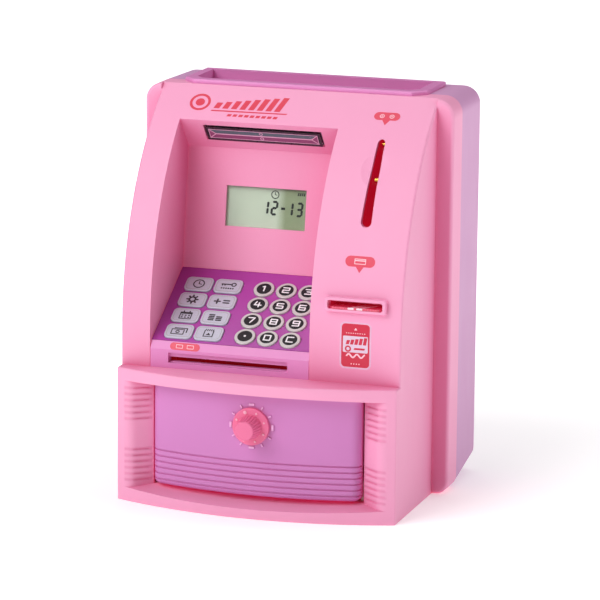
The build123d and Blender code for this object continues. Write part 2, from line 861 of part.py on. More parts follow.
def screen_module():
    """The liquid-crystal display behind the window."""
    return screen_slab(2.2, -2.1, -4.5)


def main_board():
    """The main circuit board behind the display, with its chips and connectors."""
    board = screen_slab(12.0, -8.0, -9.6, lift=2.0)
    parts = ((-28, 24, 9, 9, 1.6), (-6, 40, 14, 14, 2.0), (-38, 44, 6, 10, 5.0), (10, 22, 7, 5, 3.0))
    for x, along, width, height, tall in parts:
        board += screen_plane * Pos(x, along, -9.6 - tall / 2) * Box(width, height, tall)
    for x in (-20, -12, 2, 12):
        board += screen_plane * Pos(x, 49, -9.6 - 3) * Cylinder(2.4, 6)
    return board


def lamp_slab(border, bottom, top):
    """A flat piece parallel to the recess ceiling, wider than the lamp by border."""
    width = lamp_x[1] - lamp_x[0] + 2 * border
    depth = lamp_along_ceiling[1] - lamp_along_ceiling[0] + 2 * border
    middle_x = (lamp_x[0] + lamp_x[1]) / 2
    middle_y = (lamp_along_ceiling[0] + lamp_along_ceiling[1]) / 2
    place = ceiling_plane * Pos(middle_x, middle_y, (top + bottom) / 2)
    return place * Box(width, depth, top - bottom)


def lamp_cover():
    """The clear cover, with its long edges bevelled."""
    cover = lamp_slab(-0.8, -0.5, 1.3)
    below = Plane(ceiling_plane.origin, ceiling_plane.x_dir, -ceiling_plane.z_dir)
    return chamfer(outermost_face(cover, below).edges(), 0.9)


def lamp_housing():
    """The dark box behind the cover, open towards it."""
    outer = lamp_slab(0.6, 2.1, 7.0)
    inner = lamp_slab(-1.2, 2.0, 5.6)
    rim = lamp_slab(-0.05, 1.35, 2.1) - lamp_slab(-1.2, 1.0, 2.5)
    return outer - inner + rim


def lamp_leds():
    leds = Part()
    for x in (-28.0, 0.8):
        place = ceiling_plane * Pos(x, (lamp_along_ceiling[0] + lamp_along_ceiling[1]) / 2, 4.6)
        leds += place * Cylinder(1.5, 2.0)
        leds += place * Pos(0, 0, -1.0) * Sphere(1.5)
    return leds


# ---------------------------------------------------------------- note slot and feed

def note_bezel():
    """The block below the keypad that frames the note slot."""
    panel_foot = keypad_point(keypad_length, 0)
    outline = [
        (hood_foot_y, base_top_z),
        (hood_foot_y, bezel_slope_z),
        (panel_foot[0] - 0.25, bezel_top_z),
        panel_foot,
        keypad_point(keypad_length, -panel_thickness),
        (bezel_back_y, bezel_top_z - 2.6),
        (bezel_back_y, base_top_z),
    ]
    body = across(outline, (recess_left_x + bezel_gap, recess_right_x - bezel_gap))
    mouth_y = (hood_foot_y - 1, hood_foot_y + note_mouth_depth)
    mouth = block(note_slot_x, mouth_y, note_mouth_z)
    slot = block(note_slot_x, (hood_foot_y, bezel_back_y + 1), note_slot_z)
    ledge_room = block(
        (recess_left_x, recess_right_x), (frame_back_y, bezel_back_y + 1),
        (base_top_z - 1, base_top_z + 1.2),
    )
    return body - mouth - slot - ledge_room


def spur_gear(teeth, width, phase):
    """A spur gear with straight-sided teeth, pointing along Z."""
    pitch_radius = gear_module * teeth / 2
    root = pitch_radius - 1.25 * gear_module
    tip = pitch_radius + 0.9 * gear_module
    tooth_angle = 360 / teeth
    gear = Cylinder(root, width)
    root_half = math.radians(tooth_angle * 0.34)
    tip_half = math.radians(tooth_angle * 0.12)
    start = root - 0.15
    outline = [
        (start * math.cos(root_half), -start * math.sin(root_half)),
        (tip * math.cos(tip_half), -tip * math.sin(tip_half)),
        (tip * math.cos(tip_half), tip * math.sin(tip_half)),
        (start * math.cos(root_half), start * math.sin(root_half)),
    ]
    tooth = Pos(0, 0, -width / 2) * extrude(make_face(Polyline(*outline, close=True)), amount=width)
    for index in range(teeth):
        gear += Rot(0, 0, phase + tooth_angle * index) * tooth
    return gear


def gear_on_x(gear, x, y, z):
    """Turns a gear so that its axis lies along X; its own x axis then points to +Y."""
    plane = Plane(origin=(x, y, z), x_dir=(0, 1, 0), z_dir=(1, 0, 0))
    return plane * gear


roller_axis_z = note_z - feed_radius
pinch_axis_z = note_z + 0.35 + pinch_radius
pinion_y = feed_y + gear_module * (roller_teeth + pinion_teeth) / 2


def feed_roller():
    """The driven axle with its gear."""
    axle_x = (bracket_left_x[0] - 0.6, gear_x + gear_width + 1)
    axle = rod_x(feed_y, roller_axis_z, axle_radius, axle_x)
    gear = spur_gear(roller_teeth, gear_width, 0)
    return axle + gear_on_x(gear, gear_x + gear_width / 2, feed_y, roller_axis_z)


def feed_tyres():
    """Three rubber tyres on the driven axle."""
    tyres = Part()
    for x in tyre_places:
        ring = rod_x(feed_y, roller_axis_z, feed_radius, (x - 3.5, x + 3.5))
        tyres += ring - rod_x(feed_y, roller_axis_z, axle_radius, (x - 4, x + 4))
    return tyres


def pinch_roller():
    """The idle roller above the notes."""
    axle_x = (bracket_left_x[0] - 0.6, bracket_right_x[1] + 1.4)
    roller = rod_x(feed_y, pinch_axis_z, pinch_axle_radius, axle_x)
    for x in tyre_places:
        roller += rod_x(feed_y, pinch_axis_z, pinch_radius, (x - 4, x + 4))
    return roller


def feed_bracket():
    """Two end plates that carry the axles and the motor, joined by the curved sheet that
    turns the notes down into the drawer."""
    low, high = bracket_z
    side = [(-36.5, low), (-36.5, high - 2.8), (-32.5, high), (-17.0, high), (-17.0, low)]
    bracket = across(side, bracket_left_x) + across(side, bracket_right_x)
    bore_x = (bracket_left_x[0] - 1, bracket_right_x[1] + 1)
    bracket -= rod_x(feed_y, roller_axis_z, axle_radius + running_gap, bore_x)
    bracket -= rod_x(feed_y, pinch_axis_z, pinch_axle_radius + running_gap, bore_x)
    curve = [(-26.6, 68.4), (-24.6, 67.0), (-23.4, 64.0), (-23.4, low)]
    rear = [(y + 1.0, z + 0.5) for y, z in reversed(curve[:-1])]
    outline = curve + [(curve[-1][0] + 1.0, low)] + rear
    return bracket + across(outline, (bracket_left_x[1], bracket_right_x[0]))


def feed_motor():
    """A small flat-sided motor beside the note path."""
    can = rod_x(pinion_y, roller_axis_z, motor_radius, motor_x)
    flat_y = (pinion_y - motor_radius, pinion_y + motor_radius)
    can = can & block(motor_x, flat_y, (roller_axis_z - 5, roller_axis_z + 5))
    nose = rod_x(pinion_y, roller_axis_z, 2.6, (motor_x[1], motor_x[1] + 0.8))
    bore_x = (motor_x[1] - 3.8, motor_x[1] + 2)
    return can + nose - rod_x(pinion_y, roller_axis_z, motor_shaft_radius + running_gap, bore_x)


def motor_pinion():
    pinion = gear_on_x(
        spur_gear(pinion_teeth, gear_width, 180 / pinion_teeth),
        gear_x + gear_width / 2, pinion_y, roller_axis_z,
    )
    shaft_x = (motor_x[1] - 3.4, gear_x + gear_width + 0.8)
    return pinion + rod_x(pinion_y, roller_axis_z, motor_shaft_radius, shaft_x)


# ---------------------------------------------------------------- coin slot and chute

def chute_outline(inset):
    """The chute's side outline, moved in by inset."""
    points = [
        (-28.0, 119.5), *chute_mouth, (12.4, 168.0), (12.4, 140.0),
        (9.0, 112.0), (9.0, 56.5), (-7.0, 56.5), (-7.0, 111.0),
    ]
    face = make_face(Polyline(*points, close=True))
    return offset(face, amount=-inset, kind=Kind.INTERSECTION) if inset else face


def coin_chute():
    """A flat channel from the coin slot down to the drawer, open at its foot."""
    low, high = chute_x
    outer = extrude(Plane.YZ.offset(low) * chute_outline(0), amount=high - low)
    inner = extrude(Plane.YZ.offset(low + chute_wall) * chute_outline(chute_wall), amount=20)
    chute = outer - inner
    throat_y = (-7.0 + chute_wall, 9.0 - chute_wall)
    chute -= block((low + chute_wall, high + 1), throat_y, (50, 60))
    foot = shift_along(chute_mouth[0], chute_mouth[1], 2.0)
    head = shift_along(chute_mouth[1], chute_mouth[0], 2.0)
    mouth = [(foot[0] - 3, foot[1] + 2), (foot[0] + 3, foot[1] - 2),
             (head[0] + 3, head[1] - 2), (head[0] - 3, head[1] + 2)]
    chute -= across(mouth, (low + chute_wall, high + 1))
    cover = extrude(Plane.YZ.offset(high - chute_wall) * chute_outline(0), amount=chute_wall)
    return chute + (cover & block((low, high), (-40, 20), (56.5, 128)))


def contact_tip(height):
    """The (y, z) of a coin contact's tip, just inside the hood's front surface."""
    return hood_y(height) + 5.0, height


def contact_pivot(height):
    y, z = contact_tip(height)
    return y + contact_reach, z - contact_drop


def coin_contact(height):
    """A brass lever with a cross pin at its tip and a hub at its pivot."""
    tip = contact_tip(height)
    pivot = contact_pivot(height)
    arm_x = (47.4, 48.4)
    rise = 1.1
    arm = across(
        [(tip[0], tip[1] - rise), (tip[0], tip[1] + rise), (pivot[0], pivot[1] + rise),
         (pivot[0], pivot[1] - rise)],
        arm_x,
    )
    lever = arm + rod_x(tip[0], tip[1], 1.1, (45.0, 48.4)) + rod_x(*pivot, 2.2, (46.6, 49.4))
    return lever - rod_x(*pivot, 1.0 + running_gap, (40, 60))


def contact_pins():
    """The fixed pins that the coin contacts turn on."""
    pins = Part()
    for height in contact_heights:
        pins += rod_x(*contact_pivot(height), 1.0, (chute_x[0] + chute_wall, 50.4))
    return pins


# ---------------------------------------------------------------- card slot

def card_tongue(growth):
    """The part of the card bezel that fills the hole in the hood, made wider by growth."""
    middle_x = (card_bezel_x[0] + card_bezel_x[1]) / 2
    half_width = card_slot_size[0] / 2 + 0.8 + growth
    half_height = card_slot_size[1] / 2 + 0.8 + growth
    return block(
        (middle_x - half_width, middle_x + half_width),
        (hood_foot_y, hood_y(card_slot_z) + wall + growth),
        (card_slot_z - half_height, card_slot_z + half_height),
    )


def card_bezel():
    """The raised frame round the card slot."""
    middle_x = (card_bezel_x[0] + card_bezel_x[1]) / 2
    middle_z = (card_bezel_z[0] + card_bezel_z[1]) / 2
    width = card_bezel_x[1] - card_bezel_x[0]
    height = card_bezel_z[1] - card_bezel_z[0]
    outline = Pos(middle_x, middle_z) * RectangleRounded(width, height, 0.8)
    front_y = hood_y(middle_z) - card_bezel_proud
    solid = along_y(outline, (front_y, hood_y(middle_z) + 3))
    solid = fillet(solid.faces().sort_by(Axis.Y)[0].edges(), 0.6)
    profile = hood_profile(0, base_top_z, seam_y)
    hood = extrude(Plane.YZ.offset(card_bezel_x[0] - 1) * profile, amount=width + 2)
    frame = solid - hood + card_tongue(0)
    slot = Pos(middle_x, card_slot_z) * RectangleRounded(*card_slot_size, 1.0)
    return frame - along_y(slot, (front_y - 1, 0))


def card_guide():
    """The channel behind the bezel that holds the card."""
    front_y = hood_y(card_slot_z) + wall + 1.2
    rear_y = card_front_y + card_length + 1.6
    half_height = card_slot_size[1] / 2
    outer_z = (card_slot_z - half_height - 1.3, card_slot_z + half_height + 1.3)
    inner_z = (card_slot_z - half_height, card_slot_z + half_height)
    outer = block((card_x[0] - 2, card_x[1] + 2), (front_y, rear_y), outer_z)
    inner = block((card_x[0] - 0.4, card_x[1] + 0.4), (front_y - 1, rear_y - 1.4), inner_z)
    return outer - inner


def bank_card():
    low = card_slot_z - card_slot_size[1] / 2 + card_lift
    card = block(
        card_x, (card_front_y, card_front_y + card_length), (low, low + card_thickness)
    )
    return fillet(card.edges().filter_by(Axis.Z), 2.0)


# ---------------------------------------------------------------- lock, battery and speaker

def lock_coil():
    """The electromagnet above the drawer's rear edge, in a yoke held by the battery box."""
    x = (lock_x - 7, lock_x + 7)
    low, high = yoke_z
    window_z = (low + yoke_sheet, high - yoke_sheet)
    yoke = block(x, (lock_y - 6, lock_y + 6), yoke_z)
    window = block((x[0] - 1, x[1] + 1), (lock_y - 4.4, lock_y + 4.4), window_z)
    bore = rod_z(lock_x, lock_y, plunger_radius + running_gap, (low - 1, high + 1))
    arm = block(x, (lock_y + 6, battery_front_y - battery_wall), (low, low + yoke_sheet))
    return yoke - window + rod_z(lock_x, lock_y, 4.3, window_z) - bore + arm


def lock_plunger():
    """The steel plunger that drops through the drawer's keeper, with its head and stem."""
    head_z = yoke_z[1] + plunger_drop + 0.5
    stem = rod_z(lock_x, lock_y, plunger_radius, (keeper_z[1] + 2.4, head_z))
    return stem + rod_z(lock_x, lock_y, 3.8, (head_z, head_z + 1.4))


def battery_box():
    """The open compartment that holds the cells."""
    x = (-battery_x - battery_wall, battery_x + battery_wall)
    z = (battery_z[0] - battery_wall, battery_z[1] + battery_wall)
    rear_y = back_y - wall
    box = block(x, (battery_front_y - battery_wall, rear_y), z)
    box -= block((-battery_x, battery_x), (battery_front_y, rear_y + 1), battery_z)
    for side in (-0.5, 0.5):
        rib_x = side * cell_pitch
        box += block((rib_x - 0.4, rib_x + 0.4), (battery_front_y, battery_front_y + 3), battery_z)
    return box


def battery_places():
    middle = (cell_count - 1) / 2
    return [(index - middle) * cell_pitch for index in range(cell_count)]


def battery_cells():
    y = battery_front_y + cell_radius + 0.6
    cells = Part()
    for index, x in enumerate(battery_places()):
        flip = index % 2
        low = battery_z[0] + (1.6 if flip else 5.4)
        nub_z = (low - 1.0, low) if flip else (low + cell_length, low + cell_length + 1.0)
        cell = rod_z(x, y, cell_radius, (low, low + cell_length))
        cell = chamfer(cell.edges(), 0.5)
        cells += cell + rod_z(x, y, 2.6, nub_z)
    return cells


def battery_contacts():
    """Coil springs at the cells' flat ends and plates at their nubs."""
    y = battery_front_y + cell_radius + 0.6
    contacts = Part()
    for index, x in enumerate(battery_places()):
        flip = index % 2
        plate_z = battery_z[1] - 0.5 if not flip else battery_z[0]
        spring_z = battery_z[0] if not flip else battery_z[1] - 0.5
        for low in (plate_z, spring_z):
            contacts += block((x - 5, x + 5), (y - 5, y + 5), (low, low + 0.5))
        coil_low = battery_z[0] + 0.9 if not flip else battery_z[1] - 4.9
        for turn in range(4):
            contacts += Pos(x, y, coil_low + 0.45 + turn * 1.05) * Torus(4.0 - 0.35 * turn, 0.45)
    return contacts


def battery_cover():
    half = battery_x + cover_border - cover_gap
    z = (battery_z[0] - cover_border + cover_gap, battery_z[1] + cover_border - cover_gap)
    plate = block((-half, half), (back_y - wall + 0.2, back_y), z)
    plate = fillet(plate.edges().filter_by(Axis.Y), 1.0)
    for index in range(4):
        low = z[1] - 14 + index * 2.4
        plate -= block((-9, 9), (back_y - 0.6, back_y + 1), (low, low + 1.1))
    return plate - rod_y(0, z[0] + 6, 1.6, (back_y - 5, back_y + 1))


def speaker():
    """A small round loudspeaker: basket, cone and magnet."""
    rear = back_y - wall - 0.1
    rim = rod_y(0, speaker_z, speaker_radius, (rear - 1.6, rear))
    basket = upright_plane(rear - 1.6) * Pos(0, speaker_z) * Circle(speaker_radius - 2)
    neck = upright_plane(rear - 7.5) * Pos(0, speaker_z) * Circle(9.0)
    body = rim + loft([basket, neck], ruled=True)
    body += rod_y(0, speaker_z, 9.0, (rear - 11.5, rear - 7.5))
    mouth = upright_plane(rear) * Pos(0, speaker_z) * Circle(speaker_radius - 3)
    throat = upright_plane(rear - 6.0) * Pos(0, speaker_z) * Circle(5.0)
    return body - loft([mouth, throat], ruled=True)


# ---------------------------------------------------------------- fasteners

def casing_screws():
    """Four long-reach screws that hold the two casing halves together."""
    screws = Part()
    for x in (-screw_x, screw_x):
        for z in screw_heights:
            head = rod_y(x, z, 2.7, (seam_y + 6, seam_y + 8))
            head -= block((x - 1.7, x + 1.7), (seam_y + 7.2, seam_y + 9), (z - 0.35, z + 0.35))
            head -= block((x - 0.35, x + 0.35), (seam_y + 7.2, seam_y + 9), (z - 1.7, z + 1.7))
            screws += head + rod_y(x, z, screw_radius, (seam_y - 9, seam_y + 6))
    return screws


def nodes():
    """Every sub-part, by node name."""
    made = {
        "front_shell": front_shell(),
        "back_shell": back_shell(),
        "top_tray": top_tray(),
        "drawer_front": drawer_front(),
        "drawer_tub": drawer_tub(),
        "drawer_rails": drawer_rails(),
        "dial_knob": dial_knob(),
        "latch_cam": latch_cam(),
        "shaft_clip": shaft_clip(),
        "keypad_panel": keypad_panel(),
        "key_mat": key_mat(),
        "key_board": key_board(),
        "screen_window": screen_window(),
        "screen_module": screen_module(),
        "main_board": main_board(),
        "lamp_cover": lamp_cover(),
        "lamp_housing": lamp_housing(),
        "lamp_leds": lamp_leds(),
        "note_bezel": note_bezel(),
        "feed_bracket": feed_bracket(),
        "feed_roller": feed_roller(),
        "feed_tyres": feed_tyres(),
        "pinch_roller": pinch_roller(),
        "feed_motor": feed_motor(),
        "motor_pinion": motor_pinion(),
        "coin_chute": coin_chute(),
        "coin_contact_upper": coin_contact(contact_heights[0]),
        "coin_contact_lower": coin_contact(contact_heights[1]),
        "contact_pins": contact_pins(),
        "card_bezel": card_bezel(),
        "card_guide": card_guide(),
        "bank_card": bank_card(),
        "lock_coil": lock_coil(),
        "lock_plunger": lock_plunger(),
        "battery_box": battery_box(),
        "battery_cells": battery_cells(),
        "battery_contacts": battery_contacts(),
        "battery_cover": battery_cover(),
        "speaker": speaker(),
        "casing_screws": casing_screws(),
    }
    for name, kind, x, distance in key_places():
        made[name] = key(kind, x, distance)
    return made


os.makedirs("parts", exist_ok=True)
for node_name, solid in nodes().items():
    export_step(solid, "parts/" + node_name + ".step")
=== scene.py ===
import json
import math

import bmesh
import bpy
from mathutils import Matrix, Vector
from mathutils.bvhtree import BVHTree
from mathutils.geometry import delaunay_2d_cdt


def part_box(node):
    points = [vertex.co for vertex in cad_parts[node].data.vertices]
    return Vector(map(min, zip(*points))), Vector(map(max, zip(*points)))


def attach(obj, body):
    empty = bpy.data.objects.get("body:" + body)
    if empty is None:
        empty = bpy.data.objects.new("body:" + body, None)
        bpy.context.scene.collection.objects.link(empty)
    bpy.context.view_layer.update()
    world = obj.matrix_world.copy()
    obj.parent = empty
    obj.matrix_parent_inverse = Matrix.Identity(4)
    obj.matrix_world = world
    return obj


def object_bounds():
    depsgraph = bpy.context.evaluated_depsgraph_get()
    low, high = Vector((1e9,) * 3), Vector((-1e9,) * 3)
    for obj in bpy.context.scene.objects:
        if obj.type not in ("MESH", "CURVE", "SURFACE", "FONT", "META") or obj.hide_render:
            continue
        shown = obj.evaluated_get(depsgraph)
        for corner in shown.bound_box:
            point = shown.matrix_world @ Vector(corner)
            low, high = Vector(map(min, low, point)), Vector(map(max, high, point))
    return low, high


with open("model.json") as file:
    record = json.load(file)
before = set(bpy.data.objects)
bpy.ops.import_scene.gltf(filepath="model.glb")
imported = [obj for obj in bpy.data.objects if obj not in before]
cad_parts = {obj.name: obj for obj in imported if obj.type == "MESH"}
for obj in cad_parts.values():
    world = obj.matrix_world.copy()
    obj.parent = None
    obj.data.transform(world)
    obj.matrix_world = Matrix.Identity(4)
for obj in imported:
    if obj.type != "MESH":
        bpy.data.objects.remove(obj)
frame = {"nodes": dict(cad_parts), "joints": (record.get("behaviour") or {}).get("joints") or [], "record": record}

# A toy cash-machine savings bank: the finishes of its moulded parts, and everything that is
# printed on them or stuck to them. Shapes are drawn flat in millimetres, u to the right and
# v upwards, and then laid on a face of the frame.

MM = 0.001
cad_low, cad_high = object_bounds()
nodes = frame["nodes"]
joints = {joint["child"]: joint for joint in frame["joints"]}
node_slots = {part["node"]: part["material_slot"] for part in frame["record"]["subparts"]}

X = Vector((1, 0, 0))
Y = Vector((0, 1, 0))
Z = Vector((0, 0, 1))


# ---------------------------------------------------------------- colours and shader nodes

def colour(code):
    """A linear colour from its usual six-figure code."""
    parts = [int(code[i:i + 2], 16) / 255 for i in (0, 2, 4)]
    linear = [p / 12.92 if p <= 0.04045 else ((p + 0.055) / 1.055) ** 2.4 for p in parts]
    return (*linear, 1.0)


def scaled(tone, factor):
    """The same colour, lighter or darker."""
    return (*[min(channel * factor, 1.0) for channel in tone[:3]], 1.0)


def add(tree, kind, inputs=None, **settings):
    """A new shader node. An input is a plain value, or the socket it is linked from."""
    made = tree.nodes.new(kind)
    for name, value in settings.items():
        setattr(made, name, value)
    for key, value in (inputs or {}).items():
        if isinstance(value, bpy.types.NodeSocket):
            tree.links.new(value, made.inputs[key])
        else:
            made.inputs[key].default_value = value
    return made


def position(tree, stretch=(1, 1, 1)):
    """The place on the object in millimetres, stretched along each axis."""
    coordinates = add(tree, "ShaderNodeTexCoord")
    scale = [1000 * factor for factor in stretch]
    mapped = add(tree, "ShaderNodeMapping", {"Vector": coordinates.outputs["Object"], "Scale": scale})
    return mapped.outputs["Vector"]


def noise(tree, place, scale, detail=2.0, distortion=0.0):
    made = add(tree, "ShaderNodeTexNoise", {
        "Vector": place, "Scale": scale, "Detail": detail, "Distortion": distortion,
    })
    return made.outputs[0]


def ranged(tree, value, start, end, low, high):
    """The value, taken from start..end to low..high."""
    made = add(tree, "ShaderNodeMapRange", {
        "Value": value, "From Min": start, "From Max": end, "To Min": low, "To Max": high,
    })
    return made.outputs["Result"]


def mixed(tree, share, first, second):
    """Two colours, mixed."""
    made = add(tree, "ShaderNodeMix", data_type="RGBA")
    for index, value in ((0, share), (6, first), (7, second)):
        if isinstance(value, bpy.types.NodeSocket):
            tree.links.new(value, made.inputs[index])
        else:
            made.inputs[index].default_value = value
    return made.outputs[2]


def sums(tree, how, first, second=0.0):
    """Arithmetic on two values."""
    made = add(tree, "ShaderNodeMath", {0: first, 1: second}, operation=how)
    return made.outputs[0]


def bumped(tree, height, depth, normal=None):
    """A normal raised by height, which runs from 0 to 1, times a depth in millimetres."""
    inputs = {"Height": height, "Distance": depth * MM, "Strength": 1.0}
    if normal is not None:
        inputs["Normal"] = normal
    return add(tree, "ShaderNodeBump", inputs).outputs["Normal"]


def started(name, **sockets):
    """A new material with its shader; the sockets hold the constants of the finish."""
    material = bpy.data.materials.new(name)
    material.use_nodes = True
    shader = material.node_tree.nodes["Principled BSDF"]
    for socket, value in sockets.items():
        shader.inputs[socket.replace("_", " ")].default_value = value
    return material, material.node_tree, shader


def joined(tree, shader, **outputs):
    for socket, output in outputs.items():
        tree.links.new(output, shader.inputs[socket.replace("_", " ")])


# ---------------------------------------------------------------- finishes

GROOVE_PITCH = 2.87
GROOVE_GROUPS = (9.9, 38.6)     # height of each group's lowest groove, in millimetres


def pillar_grooves(tree, place):
    """How deep a point is in the level grooves of the surround's two pillars, from 0 to 1."""
    parts = add(tree, "ShaderNodeSeparateXYZ", {0: place}).outputs
    across = sums(tree, "ABSOLUTE", parts["X"])
    outside_opening = ranged(tree, across, 50.0, 50.8, 0.0, 1.0)
    inside_edge = ranged(tree, across, 61.6, 62.6, 1.0, 0.0)
    in_front = ranged(tree, parts["Y"], -43.0, -42.5, 1.0, 0.0)
    on_pillar = sums(tree, "MULTIPLY", outside_opening, inside_edge)
    on_pillar = sums(tree, "MULTIPLY", on_pillar, in_front)
    depths = []
    for lowest in GROOVE_GROUPS:
        height = sums(tree, "SUBTRACT", parts["Z"], lowest - GROOVE_PITCH / 2)
        step = sums(tree, "FLOORED_MODULO", height, GROOVE_PITCH)
        off_centre = sums(tree, "ABSOLUTE", sums(tree, "SUBTRACT", step, GROOVE_PITCH / 2))
        above_foot = ranged(tree, height, 0.3, 0.7, 0.0, 1.0)
        below_top = ranged(tree, height, 16.6, 17.0, 1.0, 0.0)
        in_group = sums(tree, "MULTIPLY", above_foot, below_top)
        groove = ranged(tree, off_centre, 0.25, 0.95, 1.0, 0.0)
        depths.append(sums(tree, "MULTIPLY", in_group, groove))
    return sums(tree, "MULTIPLY", sums(tree, "MAXIMUM", *depths), on_pillar)


def moulded(
    name, code, shine=0.5, edge=0.14, edge_sheen=0.1,
    hollow_shade=None, grooved=False, glow_tint="B4002C", gap_glow=0.0, glow=0.0,
):
    """Injection-moulded plastic: a fine grain, faint flow marks, and softened edges with a painted highlight along
    them.
    The deeper colour given for recesses is painted shade, mixed into the recesses and the pillar grooves. The last
    three arguments set a painted glow that stands in for light shining out of a thin wall: its colour, its
    strength in the narrow gaps, and its strength everywhere."""
    tone = colour(code)
    # Painted glow: the plastic emits its glow colour at the given strength everywhere.
    material, tree, shader = started(
        name, IOR=1.42, Emission_Color=colour(glow_tint), Emission_Strength=glow
    )
    place = position(tree)
    flow = noise(tree, position(tree, (1, 1, 0.35)), 0.035, 3.0, 0.6)
    body = mixed(tree, flow, scaled(tone, 0.975), scaled(tone, 1.025))
    rounded = add(tree, "ShaderNodeBevel", {"Radius": edge * MM}, samples=6).outputs["Normal"]
    facing = add(tree, "ShaderNodeNewGeometry").outputs["Normal"]
    turned = add(tree, "ShaderNodeVectorMath", {0: rounded, 1: facing}, operation="DOT_PRODUCT")
    # Painted highlight: the colour is lightened along rounded edges, which the bevel normal finds.
    painted_edge_sheen = ranged(tree, turned.outputs["Value"], 0.99, 0.8, 0.0, edge_sheen)
    body = mixed(tree, painted_edge_sheen, body, scaled(tone, 1.3))
    # Painted shade: where ambient occlusion finds nearby surfaces, the colour is pulled towards the deeper recess
    # colour.
    if hollow_shade:
        around = add(
            tree, "ShaderNodeAmbientOcclusion", {"Distance": 45 * MM}, samples=6, only_local=True
        )
        deep = ranged(tree, around.outputs["AO"], 0.25, 0.97, 0.75, 0.0)
        body = mixed(tree, deep, body, colour(hollow_shade))
    if grooved:
        grooves = pillar_grooves(tree, place)
        # Painted shade in the grooves: the deeper recess colour darkens them, on top of the bump.
        body = mixed(tree, ranged(tree, grooves, 0.0, 1.0, 0.0, 0.24), body, colour(hollow_shade))
        rounded = bumped(tree, sums(tree, "SUBTRACT", 1.0, grooves), 0.28, rounded)
    fine = noise(tree, place, 1.6, 3.0)
    smear = noise(tree, position(tree, (1, 1, 0.3)), 0.1, 4.0, 0.8)
    gloss = ranged(tree, smear, 0.3, 0.7, shine - 0.04, shine + 0.05)
    pitted = bumped(tree, fine, 0.003, rounded)
    joined(tree, shader, Base_Color=body, Roughness=gloss, Normal=pitted)
    # Painted glow in narrow gaps: where ambient occlusion is low, the emission rises to the gap strength.
    if gap_glow:
        openness = add(tree, "ShaderNodeAmbientOcclusion", {"Distance": 4 * MM}, samples=4)
        painted_glow_strength = ranged(tree, openness.outputs["AO"], 0.0, 0.55, gap_glow, glow)
        joined(tree, shader, Emission_Strength=painted_glow_strength)
    return material


def printed(name, code, shine=0.4):
    """Screen-printed ink: slightly uneven in tone and gloss, with a fine mesh in its surface."""
    tone = colour(code)
    material, tree, shader = started(name, IOR=1.5)
    place = position(tree)
    patchy = noise(tree, place, 0.9, 3.0)
    body = mixed(tree, patchy, scaled(tone, 0.93), scaled(tone, 1.07))
    mesh = add(tree, "ShaderNodeTexVoronoi", {"Vector": place, "Scale": 6.0}).outputs["Distance"]
    gloss = ranged(tree, noise(tree, place, 0.5, 2.0), 0.3, 0.7, shine - 0.06, shine + 0.08)
    raised_ink = bumped(tree, mesh, 0.004)
    joined(tree, shader, Base_Color=body, Roughness=gloss, Normal=raised_ink)
    return material


def metal(name, code, stretch, shine=0.28):
    """Bright metal with a drawn grain along one way and slight tarnish."""
    tone = colour(code)
    material, tree, shader = started(name, Metallic=1.0)
    lines = noise(tree, position(tree, stretch), 4.0, 3.0)
    dull = noise(tree, position(tree), 0.25, 4.0)
    body = mixed(tree, dull, scaled(tone, 0.78), scaled(tone, 1.08))
    gloss = ranged(tree, lines, 0.3, 0.7, shine - 0.08, shine + 0.12)
    rounded = add(tree, "ShaderNodeBevel", {"Radius": 0.15 * MM}, samples=4).outputs["Normal"]
    joined(tree, shader, Base_Color=body, Roughness=gloss, Normal=bumped(tree, lines, 0.006, rounded))
    return material


def matt_rubber(name, code):
    tone = colour(code)
    material, tree, shader = started(name, IOR=1.45)
    place = position(tree)
    specks = noise(tree, place, 1.8, 5.0)
    body = mixed(tree, specks, scaled(tone, 0.7), scaled(tone, 1.5))
    gloss = ranged(tree, specks, 0.3, 0.7, 0.62, 0.85)
    joined(tree, shader, Base_Color=body, Roughness=gloss, Normal=bumped(tree, specks, 0.04))
    return material


def circuit_board():
    """Green solder mask over copper tracks, with bare pads."""
    material, tree, shader = started("circuit_board", IOR=1.5, Coat_Weight=0.4)
    place = position(tree)
    tracks = add(tree, "ShaderNodeTexBrick", {
        "Vector": place, "Scale": 0.16, "Mortar Size": 0.02, "Mortar Smooth": 0.1,
        "Bias": 0.0, "Brick Width": 0.9, "Row Height": 0.3,
    }, offset=0.37).outputs["Fac"]
    cells = add(tree, "ShaderNodeTexVoronoi", {"Vector": place, "Scale": 0.22})
    pads = ranged(tree, cells.outputs["Distance"], 0.16, 0.2, 1.0, 0.0)
    mask = mixed(tree, noise(tree, place, 0.4), colour("0E4A2A"), colour("156B3B"))
    mask = mixed(tree, tracks, mask, colour("2C8A55"))
    body = mixed(tree, pads, mask, colour("C9A75A"))
    relief = sums(tree, "MAXIMUM", tracks, pads)
    gloss = ranged(tree, pads, 0.0, 1.0, 0.3, 0.42)
    joined(tree, shader, Base_Color=body, Roughness=gloss, Normal=bumped(tree, relief, 0.05))
    return material


def clear(name, code, clouding):
    """Clear moulded plastic: faint flow lines in the surface and a little clouding."""
    material, tree, shader = started(name, IOR=1.46, Transmission_Weight=1.0)
    place = position(tree)
    lines = noise(tree, position(tree, (0.3, 1, 1)), 0.3, 2.0)
    gloss = ranged(tree, noise(tree, place, 0.4, 3.0), 0.35, 0.7, 0.02, clouding)
    body = mixed(tree, lines, scaled(colour(code), 0.97), colour(code))
    joined(tree, shader, Base_Color=body, Roughness=gloss, Normal=bumped(tree, lines, 0.01))
    return material


